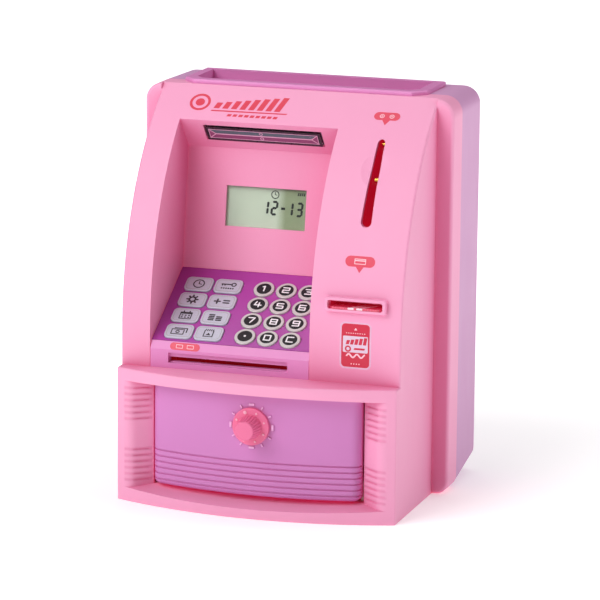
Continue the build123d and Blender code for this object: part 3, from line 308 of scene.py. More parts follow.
def display_cell():
    """A grey-green liquid-crystal cell: fine rows and columns, and a darker band on its right, a painted
    reflection.
    """
    material, tree, shader = started("display_cell", IOR=1.5)
    place = position(tree)
    rows = add(tree, "ShaderNodeTexWave", {
        "Vector": place, "Scale": 1.3, "Distortion": 0.0,
    }, bands_direction="Z").outputs["Fac"]
    low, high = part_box("screen_window")
    across = add(tree, "ShaderNodeSeparateXYZ", {0: place}).outputs["X"]
    start = (low.x + 0.66 * (high.x - low.x)) / MM
    # Painted reflection: the cell darkens to the right of about two thirds of the window's width.
    painted_reflection = ranged(tree, across, start - 1.5, start + 3.0, 0.0, 1.0)
    cloud = noise(tree, place, 0.12, 2.0)
    pale = mixed(tree, cloud, colour("BCC8B8"), colour("CAD4C4"))
    body = mixed(tree, painted_reflection, pale, colour("8C997A"))
    body = mixed(tree, ranged(tree, rows, 0.0, 1.0, 0.0, 0.08), body, colour("7E8878"))
    gloss = ranged(tree, cloud, 0.3, 0.7, 0.28, 0.36)
    joined(tree, shader, Base_Color=body, Roughness=gloss, Normal=bumped(tree, rows, 0.003))
    return material


def keypad_film():
    """Printed film over the keypad: a magenta that varies slightly, with an orange-peel skin."""
    material, tree, shader = started("keypad_film", IOR=1.5, Coat_Weight=0.25, Coat_Roughness=0.2)
    place = position(tree)
    drift = noise(tree, place, 0.05, 2.0)
    dots = add(tree, "ShaderNodeTexVoronoi", {"Vector": place, "Scale": 3.5}).outputs["Distance"]
    body = mixed(tree, drift, colour("A6309A"), colour("B440A8"))
    body = mixed(tree, ranged(tree, dots, 0.0, 0.5, 0.12, 0.0), body, colour("C65CBC"))
    peel = noise(tree, place, 0.9, 2.0)
    gloss = ranged(tree, peel, 0.3, 0.7, 0.3, 0.42)
    rounded = add(tree, "ShaderNodeBevel", {"Radius": 0.2 * MM}, samples=4).outputs["Normal"]
    joined(tree, shader, Base_Color=body, Roughness=gloss, Normal=bumped(tree, peel, 0.012, rounded))
    return material


def key_pearl(name, code):
    """Pearl-silver plastic with a fine metallic fleck."""
    tone = colour(code)
    material, tree, shader = started(name, IOR=1.5, Coat_Weight=0.35, Coat_Roughness=0.1)
    place = position(tree)
    fleck = add(tree, "ShaderNodeTexVoronoi", {"Vector": place, "Scale": 9.0}).outputs["Color"]
    value = add(tree, "ShaderNodeSeparateColor", {0: fleck}).outputs[0]
    body = mixed(tree, ranged(tree, value, 0.0, 1.0, 0.0, 0.5), scaled(tone, 0.9), scaled(tone, 1.12))
    gloss = ranged(tree, value, 0.0, 1.0, 0.24, 0.4)
    rounded = add(tree, "ShaderNodeBevel", {"Radius": 0.25 * MM}, samples=4).outputs["Normal"]
    joined(tree, shader, Base_Color=body, Roughness=gloss, Normal=bumped(tree, value, 0.003, rounded))
    return material


def card_print():
    """A plastic card printed red, with a pair of slanting pale stripes."""
    material, tree, shader = started("card_print", IOR=1.5, Coat_Weight=0.4, Coat_Roughness=0.08)
    place = position(tree)
    low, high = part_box("bank_card")
    parts = add(tree, "ShaderNodeSeparateXYZ", {0: place})
    middle_x = (low.x + high.x) / 2 / MM
    along = sums(tree, "SUBTRACT", parts.outputs["X"], middle_x)
    depth = sums(tree, "SUBTRACT", parts.outputs["Y"], low.y / MM)
    curve = sums(tree, "MULTIPLY", depth, 0.8)
    offset = sums(tree, "ABSOLUTE", sums(tree, "SUBTRACT", along, curve))
    stripe = ranged(tree, offset, 3.2, 3.6, 1.0, 0.0)
    split = ranged(tree, offset, 0.5, 0.8, 0.0, 1.0)
    band = sums(tree, "MULTIPLY", stripe, split)
    lines = add(tree, "ShaderNodeTexWave", {"Vector": place, "Scale": 0.25}).outputs["Fac"]
    red = mixed(tree, ranged(tree, lines, 0.8, 0.9, 0.0, 0.35), colour("DC4064"), colour("EE7B96"))
    body = mixed(tree, band, red, colour("FAD9E4"))
    gloss = ranged(tree, noise(tree, place, 0.5), 0.3, 0.7, 0.2, 0.3)
    joined(tree, shader, Base_Color=body, Roughness=gloss, Normal=bumped(tree, band, 0.01))
    return material


def cell_wrap():
    """A cell's printed sleeve: dark blue, with a bright band near one end."""
    material, tree, shader = started("cell_wrap", IOR=1.5, Coat_Weight=0.5, Coat_Roughness=0.08)
    place = position(tree)
    height = add(tree, "ShaderNodeSeparateXYZ", {0: place}).outputs["Z"]
    low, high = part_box("battery_cells")
    near_top = (high.z - 0.3 * (high.z - low.z)) / MM
    band = ranged(tree, height, near_top, near_top + 0.4, 0.0, 1.0)
    grain = noise(tree, place, 2.0, 3.0)
    body = mixed(tree, band, colour("27406E"), colour("C8A24A"))
    body = mixed(tree, ranged(tree, grain, 0.3, 0.7, 0.0, 0.1), body, colour("FFFFFF"))
    gloss = ranged(tree, grain, 0.3, 0.7, 0.22, 0.32)
    joined(tree, shader, Base_Color=body, Roughness=gloss, Normal=bumped(tree, grain, 0.008))
    return material


def floor_finish():
    """Plain pale paper, which is lit evenly further away from the object."""
    white = (1.0, 1.0, 1.0, 1.0)
    material, tree, shader = started("floor_paper", IOR=1.3, Emission_Color=white)
    place = position(tree)
    fibre = noise(tree, place, 0.02, 3.0)
    body = mixed(tree, fibre, colour("F4F2F3"), colour("F9F8F8"))
    gloss = ranged(tree, fibre, 0.3, 0.7, 0.8, 0.9)
    away = add(tree, "ShaderNodeVectorMath", {0: place}, operation="LENGTH").outputs["Value"]
    glow = ranged(tree, away, 70, 420, 0.3, 0.85)
    joined(tree, shader, Base_Color=body, Roughness=gloss, Normal=bumped(tree, fibre, 0.02))
    joined(tree, shader, Emission_Strength=glow)
    return material


FINISHES = {
    # The pink and lilac finishes carry a painted glow in their narrow gaps.
    "pink_plastic": moulded("pink_plastic", "F4A3C7", gap_glow=0.5),
    "pink_trim": moulded("pink_trim", "EC749F", shine=0.4, edge=0.2, gap_glow=0.3),
    "lilac_plastic": moulded("lilac_plastic", "D29BC6", gap_glow=0.2),
    "lilac_gloss": moulded("lilac_gloss", "CE80BF", shine=0.42, gap_glow=0.35),
    "lilac_trim": moulded("lilac_trim", "E28CC6", shine=0.34, gap_glow=0.2),
    "keypad_film": keypad_film(),
    "key_black": key_pearl("key_ring", "CFCBC9"),
    "key_silver": key_pearl("key_pearl", "C6C7D6"),
    "key_rubber": matt_rubber("key_rubber", "2A2A2C"),
    "circuit_board": circuit_board(),
    "screen_glass": clear("screen_glass", "F4F6F2", 0.07),
    "display_cell": display_cell(),
    "clear_plastic": clear("clear_plastic", "F2E4EC", 0.1),
    "dark_plastic": moulded("dark_plastic", "2B2629", shine=0.42, edge_sheen=0.3),
    "steel": metal("steel", "BFC1C4", (1, 0.15, 1)),
    "white_plastic": moulded("white_plastic", "E9E6E2", shine=0.42),
    # A painted glow all over the red plastic.
    "red_plastic": moulded("red_plastic", "C8102A", shine=0.34, glow_tint="D00818", glow=0.55),
    "brass": metal("brass", "D9A84E", (0.15, 1, 1), shine=0.22),
    "card_print": card_print(),
    "cell_wrap": cell_wrap(),
}
RED_INK = printed("red_ink", "E2405C")
MARK_INK = printed("mark_ink", "DE3650")
STICKER_RED = printed("sticker_red", "CE1C40")
PALE_INK = printed("pale_ink", "FFC9D8")
WHITE_INK = printed("white_ink", "F4F3F5", shine=0.34)
PANEL_INK = printed("panel_ink", "E3C9DE", shine=0.34)
# Painted highlights for the tops of the dial marks and the knob's dots.
DIAL_HIGHLIGHT = printed("dial_highlight", "EDB0DF", shine=0.3)
DOT_HIGHLIGHT = printed("dot_highlight", "F9B4CC", shine=0.3)
# Lamp cover: a painted highlight, a dark-grey tone, a painted pink reflection and a dark border.
LAMP_HIGHLIGHT = printed("lamp_highlight", "E0A9C6", shine=0.2)
LAMP_TEAL = printed("lamp_teal", "5B6570", shine=0.2)
LAMP_REFLECTION = printed("lamp_reflection", "8E4A70", shine=0.2)
LAMP_DARK = printed("lamp_dark", "3A2633", shine=0.3)
DARK_INK = printed("dark_ink", "26242C")
GREY_INK = printed("grey_ink", "A5A3A0")
DISPLAY_INK = printed("display_ink", "14181F", shine=0.5)
STICKER_FILM = printed("sticker_film", "E8B4D2", shine=0.22)
KEY_DISC = moulded("key_disc", "151419", shine=0.5)

# The red of the guides and chute shows in the slots; the red parts below carry a painted glow that stands in for
# light coming in across the pink shell.
OWN_FINISHES = {
    "front_shell": moulded("pink_grooved", "F4A3C7", hollow_shade="D84480", grooved=True, gap_glow=0.5),
    "feed_tyres": moulded("feed_rubber", "7E1020", shine=0.6, glow_tint="A80818", glow=0.3),
    "feed_bracket": moulded("note_guide", "9A0E26", shine=0.4, glow_tint="B00818", glow=0.3),
    "coin_chute": moulded("chute", "B01230", shine=0.34, glow_tint="C00C28", glow=0.5),
    "card_guide": moulded("card_box", "B8122E", shine=0.4, glow_tint="C01030", glow=0.35),
    # The lamp box is lighter than the dark plastic, partly a painted reflection inside it.
    "lamp_housing": moulded("lamp_box", "5C5362", shine=0.3),
}


def finish_frame():
    """Every part of the frame gets its own finish, or the finish of its slot."""
    for name, part in nodes.items():
        part.data.materials.clear()
        part.data.materials.append(OWN_FINISHES.get(name, FINISHES[node_slots[name]]))


# ---------------------------------------------------------------- flat shapes, in millimetres

def box_shape(width, height, at=(0, 0), lean=0.0):
    """A rectangle; lean moves its top edge to the right."""
    u, v = at
    corners = ((-1, -1), (1, -1), (1, 1), (-1, 1))
    return [(u + width / 2 * i + lean / 2 * j, v + height / 2 * j) for i, j in corners]


def round_shape(radius, at=(0, 0), sides=32):
    turns = [2 * math.pi * index / sides for index in range(sides)]
    return [(at[0] + radius * math.cos(t), at[1] + radius * math.sin(t)) for t in turns]


def rounded_box(width, height, corner, at=(0, 0), steps=6):
    """A rectangle with rounded corners."""
    points = []
    for quarter, (i, j) in enumerate(((1, 1), (-1, 1), (-1, -1), (1, -1))):
        centre_u = at[0] + i * (width / 2 - corner)
        centre_v = at[1] + j * (height / 2 - corner)
        for step in range(steps + 1):
            turn = math.pi / 2 * (quarter + step / steps)
            points.append((centre_u + corner * math.cos(turn), centre_v + corner * math.sin(turn)))
    return points


def line_shapes(points, width):
    """A drawn line with round joints and ends, as overlapping shapes."""
    shapes = [round_shape(width / 2, point, 12) for point in points]
    for (u, v), (next_u, next_v) in zip(points, points[1:]):
        length = math.hypot(next_u - u, next_v - v)
        side_u = -(next_v - v) / length * width / 2
        side_v = (next_u - u) / length * width / 2
        shapes.append([
            (u + side_u, v + side_v), (u - side_u, v - side_v),
            (next_u - side_u, next_v - side_v), (next_u + side_u, next_v + side_v),
        ])
    return shapes


def ring_shapes(radius, width, at=(0, 0)):
    """A circle's line."""
    return line_shapes(round_shape(radius, at, 24) + [(at[0] + radius, at[1])], width)


def frame_shapes(width, height, line, at=(0, 0)):
    """A rectangle's line."""
    corners = box_shape(width, height, at)
    return line_shapes(corners + corners[:1], line)


def moved(shapes, u=0.0, v=0.0, size=1.0):
    return [[(u + size * a, v + size * b) for a, b in shape] for shape in shapes]


def spun(shape, degrees):
    """The shape, turned anticlockwise about the middle."""
    turn = math.radians(degrees)
    return [
        (a * math.cos(turn) - b * math.sin(turn), a * math.sin(turn) + b * math.cos(turn))
        for a, b in shape
    ]


def area(shape):
    """Twice the signed area, which is positive for a shape drawn anticlockwise."""
    return sum(a[0] * b[1] - b[0] * a[1] for a, b in zip(shape, shape[1:] + shape[:1]))


def covered(solids, holes, step):
    """Points and triangles that cover the solids' union less the holes. Where a step is given
    the triangles are also cut into rows of that height, so that they can bend."""
    points, faces, edges = [], [], []
    for shape in [*solids, *holes]:
        ordered = shape if area(shape) > 0 else shape[::-1]
        faces.append([len(points) + index for index in range(len(ordered))])
        points += [Vector(point) for point in ordered]
    low_u = min(point.x for point in points) - 0.1
    high_u = max(point.x for point in points) + 0.1
    low_v = min(point.y for point in points)
    high_v = max(point.y for point in points)
    rows = math.ceil((high_v - low_v) / step) if step else 0
    for row in range(1, rows):
        v = low_v + (high_v - low_v) * row / rows
        edges.append((len(points), len(points) + 1))
        points += [Vector((low_u, v)), Vector((high_u, v))]
    made = delaunay_2d_cdt(points, edges, faces, 0, 1e-5)
    solid_count = len(solids)
    kept = [
        triangle for triangle, inside in zip(made[2], made[5])
        if any(index < solid_count for index in inside)
        and all(index < solid_count for index in inside)
    ]
    return made[0], kept


# ---------------------------------------------------------------- places on the frame

def flat_place(origin, right, up):
    """A place on a flat face, from its origin and its own u and v ways."""
    out = right.cross(up)
    return lambda u, v, w: origin + (right * u + up * v + out * w) * MM


def reach(node, way):
    """How far a part of the frame reaches along a way: lowest and highest, in metres."""
    values = [vertex.co.dot(way) for vertex in nodes[node].data.vertices]
    return min(values), max(values)


def outer_face(node, right, up, depth=0.0):
    """The place at the middle of a part's outer face, depth millimetres above it."""
    out = right.cross(up)
    middle = sum((way * sum(reach(node, way)) / 2 for way in (right, up)), Vector())
    return flat_place(middle + out * (reach(node, out)[1] + depth * MM), right, up)


def surface_of(node):
    mesh = nodes[node].data
    return BVHTree.FromPolygons(
        [vertex.co for vertex in mesh.vertices], [list(face.vertices) for face in mesh.polygons]
    )


def curved_place(surface, x, z):
    """A place on a curved front: v follows the surface's slope at (x, z), in metres."""
    start_y = cad_low.y - 0.1
    slope = surface.ray_cast(Vector((x, start_y, z)), Y)[1]
    rise = math.hypot(slope.x, slope.y) / slope.length

    def place(u, v, w):
        start = Vector((x + u * MM, start_y, z + v * MM * rise))
        hit, normal, _, _ = surface.ray_cast(start, Y)
        return hit + normal * w * MM

    return place


# ---------------------------------------------------------------- pieces

def piece(name, bm, material, body, sharp=35):
    """A finished piece: closed, with its faces outwards, riding on a body of the frame."""
    bmesh.ops.recalc_face_normals(bm, faces=bm.faces)
    mesh = bpy.data.meshes.new(name)
    bm.to_mesh(mesh)
    bm.free()
    mesh.materials.append(material)
    mesh.shade_smooth()
    mesh.set_sharp_from_angle(angle=math.radians(sharp))
    made = bpy.data.objects.new(name, mesh)
    bpy.context.scene.collection.objects.link(made)
    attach(made, body)
    return made


def raised(name, solids, place, material, body, holes=(), height=0.05, foot=-0.05, step=0.0):
    """A thin closed piece, such as a print or a sticker, with the outline of flat shapes."""
    points, triangles = covered(solids, holes, step)
    used = sorted({index for triangle in triangles for index in triangle})
    bm = bmesh.new()
    top = {index: bm.verts.new(place(*points[index], height)) for index in used}
    bottom = {index: bm.verts.new(place(*points[index], foot)) for index in used}
    sides = {}
    for a, b, c in triangles:
        bm.faces.new((top[a], top[b], top[c]))
        bm.faces.new((bottom[c], bottom[b], bottom[a]))
        for pair in ((a, b), (b, c), (c, a)):
            sides[pair] = True
    for a, b in sides:
        if (b, a) not in sides:
            bm.faces.new((top[a], bottom[a], bottom[b], top[b]))
    return piece(name, bm, material, body)


def turned(name, profile, place, material, body, sides=48):
    """A round piece: the (radius, height) profile, turned about the face's middle."""
    bm = bmesh.new()
    rings = []
    for radius, height in profile:
        if radius == 0:
            rings.append([bm.verts.new(place(0, 0, height))])
            continue
        turns = [2 * math.pi * index / sides for index in range(sides)]
        ring = [bm.verts.new(place(radius * math.cos(t), radius * math.sin(t), height)) for t in turns]
        rings.append(ring)
    for lower, upper in zip(rings, rings[1:]):
        for index in range(sides):
            after = (index + 1) % sides
            corners = [
                lower[index % len(lower)], lower[after % len(lower)],
                upper[after % len(upper)], upper[index % len(upper)],
            ]
            bm.faces.new(list(dict.fromkeys(corners)))
    return piece(name, bm, material, body, sharp=50)


# ---------------------------------------------------------------- keys

key_in = Vector(joints["press_1"]["axis"]).normalized()
keypad_up = (-key_in).cross(X)

STROKE = 0.68
TALL = 1.5
WIDE = 1.45
TOP = [(-WIDE, TALL), (WIDE, TALL)]
BOTTOM = [(-WIDE, -TALL), (WIDE, -TALL)]
DIGITS = {
    "0": [TOP + BOTTOM[::-1] + TOP[:1]],
    "1": [[(-0.6, 1.1), (0.25, TALL), (0.25, -TALL)]],
    "2": [TOP + [(WIDE, 0), (-WIDE, 0)] + BOTTOM],
    "3": [TOP + BOTTOM[::-1], [(-0.6, 0), (WIDE, 0)]],
    "4": [[(-0.7, 1.6), (-WIDE, -0.5), (1.7, -0.5)], [(0.65, 1.0), (0.65, -1.6)]],
    "5": [TOP[::-1] + [(-WIDE, 0), (WIDE, 0)] + BOTTOM[::-1]],
    "6": [TOP[::-1] + BOTTOM + [(WIDE, 0), (-WIDE, 0)]],
    "7": [TOP + [(-0.2, -1.6)]],
    "8": [TOP + BOTTOM[::-1] + TOP[:1], [(-WIDE, 0), (WIDE, 0)]],
    "9": [[(WIDE, 0), (-WIDE, 0)] + TOP + BOTTOM[::-1]],
    "clear": [TOP[::-1] + BOTTOM],
}


def clock_icon(radius, line):
    hands = line_shapes([(0, radius * 0.62), (0, 0), (radius * 0.5, -radius * 0.1)], line * 0.8)
    return ring_shapes(radius, line) + hands


def key_icon():
    """A door key over a row of dots."""
    bow = ring_shapes(1.0, 0.6, (2.5, 1.0))
    shank = line_shapes([(1.6, 1.0), (-3.2, 1.0)], 0.75)
    bits = line_shapes([(-2.9, 1.0), (-2.9, 0.2)], 0.6) + line_shapes([(-1.7, 1.0), (-1.7, 0.3)], 0.6)
    dots = [round_shape(0.45, (-2.8 + 1.1 * index, -1.6), 12) for index in range(6)]
    return bow + shank + bits + dots


def gear_icon():
    """A toothed wheel, for settings."""
    teeth = []
    for index in range(8):
        turn = math.pi / 4 * index
        near = (1.7 * math.cos(turn), 1.7 * math.sin(turn))
        far = (2.6 * math.cos(turn), 2.6 * math.sin(turn))
        teeth += line_shapes([near, far], 0.9)
    return ring_shapes(1.45, 0.9) + teeth


def total_icon():
    """A plus and an equals sign, for the total."""
    plus = line_shapes([(-3.5, 0), (-0.8, 0)], 0.85) + line_shapes([(-2.15, 1.35), (-2.15, -1.35)], 0.85)
    equals = line_shapes([(0.9, 0.75), (3.5, 0.75)], 0.85) + line_shapes([(0.9, -0.75), (3.5, -0.75)], 0.85)
    return plus + equals


def calendar_icon():
    """A leaf of a calendar with its two rings."""
    leaf = frame_shapes(5.4, 4.0, 0.5, (0, -0.4))
    head = [box_shape(5.4, 1.3, (0, 1.3))]
    rings = line_shapes([(-1.4, 1.6), (-1.4, 2.5)], 0.6) + line_shapes([(1.4, 1.6), (1.4, 2.5)], 0.6)
    days = [
        box_shape(0.9, 0.7, (-1.6 + 1.6 * column, -0.2 - 1.25 * row))
        for row in range(2) for column in range(3)
    ]
    return leaf + head + rings + days


def coins_icon():
    """Two stacks of coins."""
    stacks = []
    for u, count in ((-1.8, 4), (1.8, 3)):
        stacks += [rounded_box(3.0, 0.8, 0.38, (u, -1.8 + 1.08 * index)) for index in range(count)]
    return stacks


def note_icon():
    """A banknote in front of another."""
    front = frame_shapes(5.8, 3.0, 0.5, (-0.6, -0.6)) + ring_shapes(0.75, 0.5, (-0.6, -0.6))
    behind = line_shapes([(-2.4, 1.7), (3.6, 1.7), (3.6, -0.9)], 0.55)
    return front + behind


def card_icon():
    """A card going into a slot, with an arrow on it."""
    card = line_shapes([(-2.1, 1.4), (-2.1, -2.2), (2.1, -2.2), (2.1, 1.4)], 0.5)
    slot = [box_shape(0.5, 1.2, (-1.8 + 0.9 * index, 1.9), 0.3) for index in range(5)]
    arrow = [[(-1.2, -1.4), (1.2, -1.4), (0, 0.2)]]
    return card + slot + arrow


ICONS = {
    "clock": clock_icon(2.5, 0.6),
    "password": key_icon(),
    "set": gear_icon(),
    "sum": total_icon(),
    "day": calendar_icon(),
    "money": coins_icon(),
    "note": note_icon(),
    "card": card_icon(),
}

DISC_RADIUS = 3.45
DISC_PROFILE = (
    (0, -0.2), (DISC_RADIUS, -0.2), (DISC_RADIUS, 0.02), (DISC_RADIUS - 0.04, 0.07),
    (DISC_RADIUS - 0.12, 0.1), (DISC_RADIUS - 0.6, 0.12), (0, 0.13),
)


def number_key(name):
    """A glossy black disc let into the key's top, with its white figure."""
    node = "key_" + name
    body = "press_" + name
    top = outer_face(node, X, keypad_up)
    turned(node + "_disc", DISC_PROFILE, top, KEY_DISC, body)
    if name == "dot":
        shapes = [round_shape(0.55)]
    else:
        shapes = [shape for line in DIGITS[name] for shape in line_shapes(line, STROKE)]
    raised(node + "_figure", shapes, top, WHITE_INK, body, height=0.16, foot=0.08)


def function_key(name):
    """A dark symbol on the key's top, inside a thin line that follows its edge."""
    node = "key_" + name
    body = "press_" + name
    top = outer_face(node, X, keypad_up)
    raised(node + "_symbol", ICONS[name], top, DARK_INK, body, height=0.03)
    border = [rounded_box(11.5, 7.3, 1.9)]
    inside = [rounded_box(11.1, 6.9, 1.7)]
    raised(node + "_border", border, top, GREY_INK, body, holes=inside, height=0.02)


def add_keys():
    for name in [*"0123456789", "dot", "clear"]:
        number_key(name)
    for name in ICONS:
        function_key(name)


def add_dial_marks():
    """Pale tops on the marks round the knob and on the dots of the knob's dial: a painted highlight where the
    raised marks catch the light.
    """
    low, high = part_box("dial_knob")
    middle = Vector(((low.x + high.x) / 2, 0, (low.z + high.z) / 2))
    face = flat_place(middle - Y * 54.75 * MM, X, Z)
    marks = []
    for index in range(12):
        size = (2.5, 1.0) if index % 3 == 0 else (0.65, 1.4)
        marks.append(spun(box_shape(*size, (0, 9.9)), 30 * index))
    raised("dial_marks", marks, face, DIAL_HIGHLIGHT, "drawer", height=0.03, foot=-0.03)
    top = flat_place(middle - Y * 56.8 * MM, X, Z)
    dots = []
    for index in range(8):
        radius = 0.5 if index else 0.8
        dots.append(spun(round_shape(radius, (0, 7), 20), 45 * index + 20))
    raised("dial_dots", dots, top, DOT_HIGHLIGHT, "knob", height=0.03, foot=-0.03)


# ---------------------------------------------------------------- display and lamp

SEGMENTS = {"1": "bc", "2": "abged", "3": "abgcd"}


def seven_segments(figure, at, width=3.4, height=6.8, line=1.05, lean=0.55):
    """The lit segments of one display figure, leaning slightly."""
    half = width / 2 - line / 2
    tall = height / 2 - line / 2
    ends = {
        "a": ((-half, tall), (half, tall)), "b": ((half, tall), (half, 0)),
        "c": ((half, 0), (half, -tall)), "d": ((-half, -tall), (half, -tall)),
        "e": ((-half, 0), (-half, -tall)), "f": ((-half, tall), (-half, 0)),
        "g": ((-half, 0), (half, 0)),
    }
    shapes = []
    for segment in SEGMENTS[figure]:
        (u, v), (end_u, end_v) = ends[segment]
        length = math.hypot(end_u - u, end_v - v)
        way = ((end_u - u) / length, (end_v - v) / length)
        side = (-way[1] * line / 2, way[0] * line / 2)
        near, far = 0.08, length - 0.08
        outline = [(near, 0), (near + 0.3, -1), (far - 0.3, -1),
                   (far, 0), (far - 0.3, 1), (near + 0.3, 1)]
        shape = [(u + way[0] * d + side[0] * s, v + way[1] * d + side[1] * s) for d, s in outline]
        shapes.append([(at[0] + a + lean * b / height, at[1] + b) for a, b in shape])
    return shapes


def half_size(node, way):
    """Half of a part's size along a way, in millimetres."""
    low, high = reach(node, way)
    return (high - low) / 2 / MM


def add_lamp_facets():
    """The lamp's reflector: a dark-grey face and a face of painted pink reflection, with painted highlights along
    the edges where they meet.
    """
    below = [face for face in nodes["lamp_cover"].data.polygons if face.normal.z < -0.3]
    out = max(below, key=lambda face: face.area).normal.normalized()
    up = out.cross(X)
    place = outer_face("lamp_cover", X, up)
    half = half_size("lamp_cover", X)
    deep = half_size("lamp_cover", up)
    edge, tall, ridge = half - 1.5, deep - 1.5, half - 4.6
    border = frame_shapes(2 * half - 0.9, 2 * deep - 0.9, 0.9)
    raised("lamp_border", border, place, LAMP_DARK, "casing", height=0.02)
    # The back face and the two ends are painted pink reflection.
    for name, side, ink in (("front", 1, LAMP_TEAL), ("back", -1, LAMP_REFLECTION)):
        face = [[(-edge, side * tall), (edge, side * tall), (ridge, 0), (-ridge, 0)][::-side]]
        raised("lamp_face_" + name, face, place, ink, "casing", height=0.02)
    ends = [[(edge, -tall), (edge, tall), (ridge, 0)], [(-edge, tall), (-edge, -tall), (-ridge, 0)]]
    raised("lamp_ends", ends, place, LAMP_REFLECTION, "casing", height=0.025)
    # Painted highlights: bright lines on the ridge and the edges, and two small bright rings.
    lines = line_shapes([(-ridge, 0), (ridge, 0)], 0.62) + frame_shapes(2 * edge, 2 * tall, 0.3)
    for end in (-1, 1):
        for side in (-1, 1):
            lines += line_shapes([(end * edge, side * tall), (end * ridge, 0)], 0.4)
    lines += ring_shapes(0.75, 0.3, (-1.0, 1.6)) + ring_shapes(0.75, 0.3, (-1.0, -1.6))
    raised("lamp_highlight_lines", lines, place, LAMP_HIGHLIGHT, "casing", height=0.05)


def add_display():
    """The date on the display, a clock sign over it and a small mark in the corner."""
    window = nodes["screen_window"].data
    front = min(window.polygons, key=lambda face: face.normal.y - face.area)
    out = front.normal.normalized()
    up = out.cross(X)
    cell_front = reach("screen_module", out)[1]
    middle = sum((way * sum(reach("screen_window", way)) / 2 for way in (X, up)), Vector())
    place = flat_place(middle + out * cell_front, X, up)
    date = seven_segments("1", (-0.7, 0.2)) + seven_segments("2", (3.7, 0.2))
    date += seven_segments("1", (11.1, 0.2)) + seven_segments("3", (15.8, 0.2))
    date.append(box_shape(1.9, 1.1, (7.9, 0.2)))
    raised("display_date", date, place, DISPLAY_INK, "casing", height=0.08, foot=-0.02)
    clock = moved(clock_icon(1.75, 0.42), 3.8, 6.4)
    raised("display_clock", clock, place, DISPLAY_INK, "casing", height=0.08, foot=-0.02)
    mark = [box_shape(0.6, 1.4, (15.0 + 0.95 * index, 7.2), 0.3) for index in range(4)]
    raised("display_mark", mark, place, DISPLAY_INK, "casing", height=0.08, foot=-0.02)


# ---------------------------------------------------------------- prints and stickers

def pointer_label(width, height, pointer):
    """A pill with a small triangle under it."""
    half = height / 2
    return [
        rounded_box(width, height, half - 0.05, steps=8),
        [(-1.9, -half + 0.2), (0, -half - pointer), (1.9, -half + 0.2)],
    ]


def header_shapes():
    """A coin, rising bars that lean forward, and a line of dashes under them."""
    coin = ring_shapes(4.6, 1.3, (-20.2, 0.6)) + [round_shape(2.3, (-20.2, 0.6))]
    bars = []
    for index in range(8):
        height = 3.6 + 0.75 * index
        bars.append(box_shape(2.9, height, (-10.6 + 4.5 * index, -2.6 + height / 2), height * 0.33))
    underline = [[(-13.6, -4.6), (24.4, -4.2), (25.2, -3.5), (-13.2, -3.8)]]
    dashes = [box_shape(2.0, 1.5, (-3.6 + 2.9 * index, -6.6), 0.5) for index in range(9)]
    return coin + bars + underline + dashes


def add_casing_prints():
    """Generic marks in place of lettering, printed on the casing and the note bezel."""
    hood = surface_of("front_shell")
    card_low, card_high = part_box("bank_card")
    chute_low, chute_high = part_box("coin_chute")
    card_x = (card_low.x + card_high.x) / 2
    card_z = card_low.z + 1.75 * MM
    coin_x = (chute_low.x + chute_high.x) / 2
    panel_low, panel_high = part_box("keypad_panel")
    header_x = (panel_low.x + panel_high.x) / 2 - 11.6 * MM

    header = curved_place(hood, header_x, 176.2 * MM)
    raised("header_mark", moved(header_shapes(), size=0.95), header, MARK_INK, "casing", step=1.0)

    coin_label = curved_place(hood, coin_x - 1.2 * MM, 175.5 * MM)
    raised("coin_label", pointer_label(12.2, 4.6, 3.0), coin_label, RED_INK, "casing", step=1.0)
    coins = ring_shapes(0.95, 0.35, (-2.3, 0)) + ring_shapes(0.95, 0.35, (2.3, 0))
    coins += [round_shape(0.35, (-2.3, 0), 12), round_shape(0.35, (2.3, 0), 12)]
    raised("coin_label_sign", coins, coin_label, PALE_INK, "casing", height=0.08, foot=0.0, step=1.0)

    card_label = curved_place(hood, card_x, card_z + 18.8 * MM)
    raised("card_label", pointer_label(13.8, 4.9, 2.7), card_label, RED_INK, "casing", step=1.0)
    card = frame_shapes(5.0, 2.2, 0.32) + [box_shape(5.0, 0.5, (0, 0.4))]
    raised("card_label_sign", card, card_label, PALE_INK, "casing", height=0.08, foot=0.0, step=1.0)

    bezel = surface_of("note_bezel")
    bezel_low, bezel_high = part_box("note_bezel")
    note_label = curved_place(bezel, bezel_low.x + 16.4 * MM, bezel_high.z - 2.0 * MM)
    pill = [rounded_box(14.2, 3.4, 1.65, steps=8)]
    raised("note_label", pill, note_label, RED_INK, "casing", step=0.6)
    notes = frame_shapes(3.0, 1.5, 0.28, (-2.6, 0)) + frame_shapes(3.0, 1.5, 0.28, (2.6, 0))
    raised("note_label_sign", notes, note_label, PALE_INK, "casing", height=0.08, foot=0.0, step=0.6)

    add_sticker(hood, card_x + 0.1 * MM, card_z - 18.2 * MM)


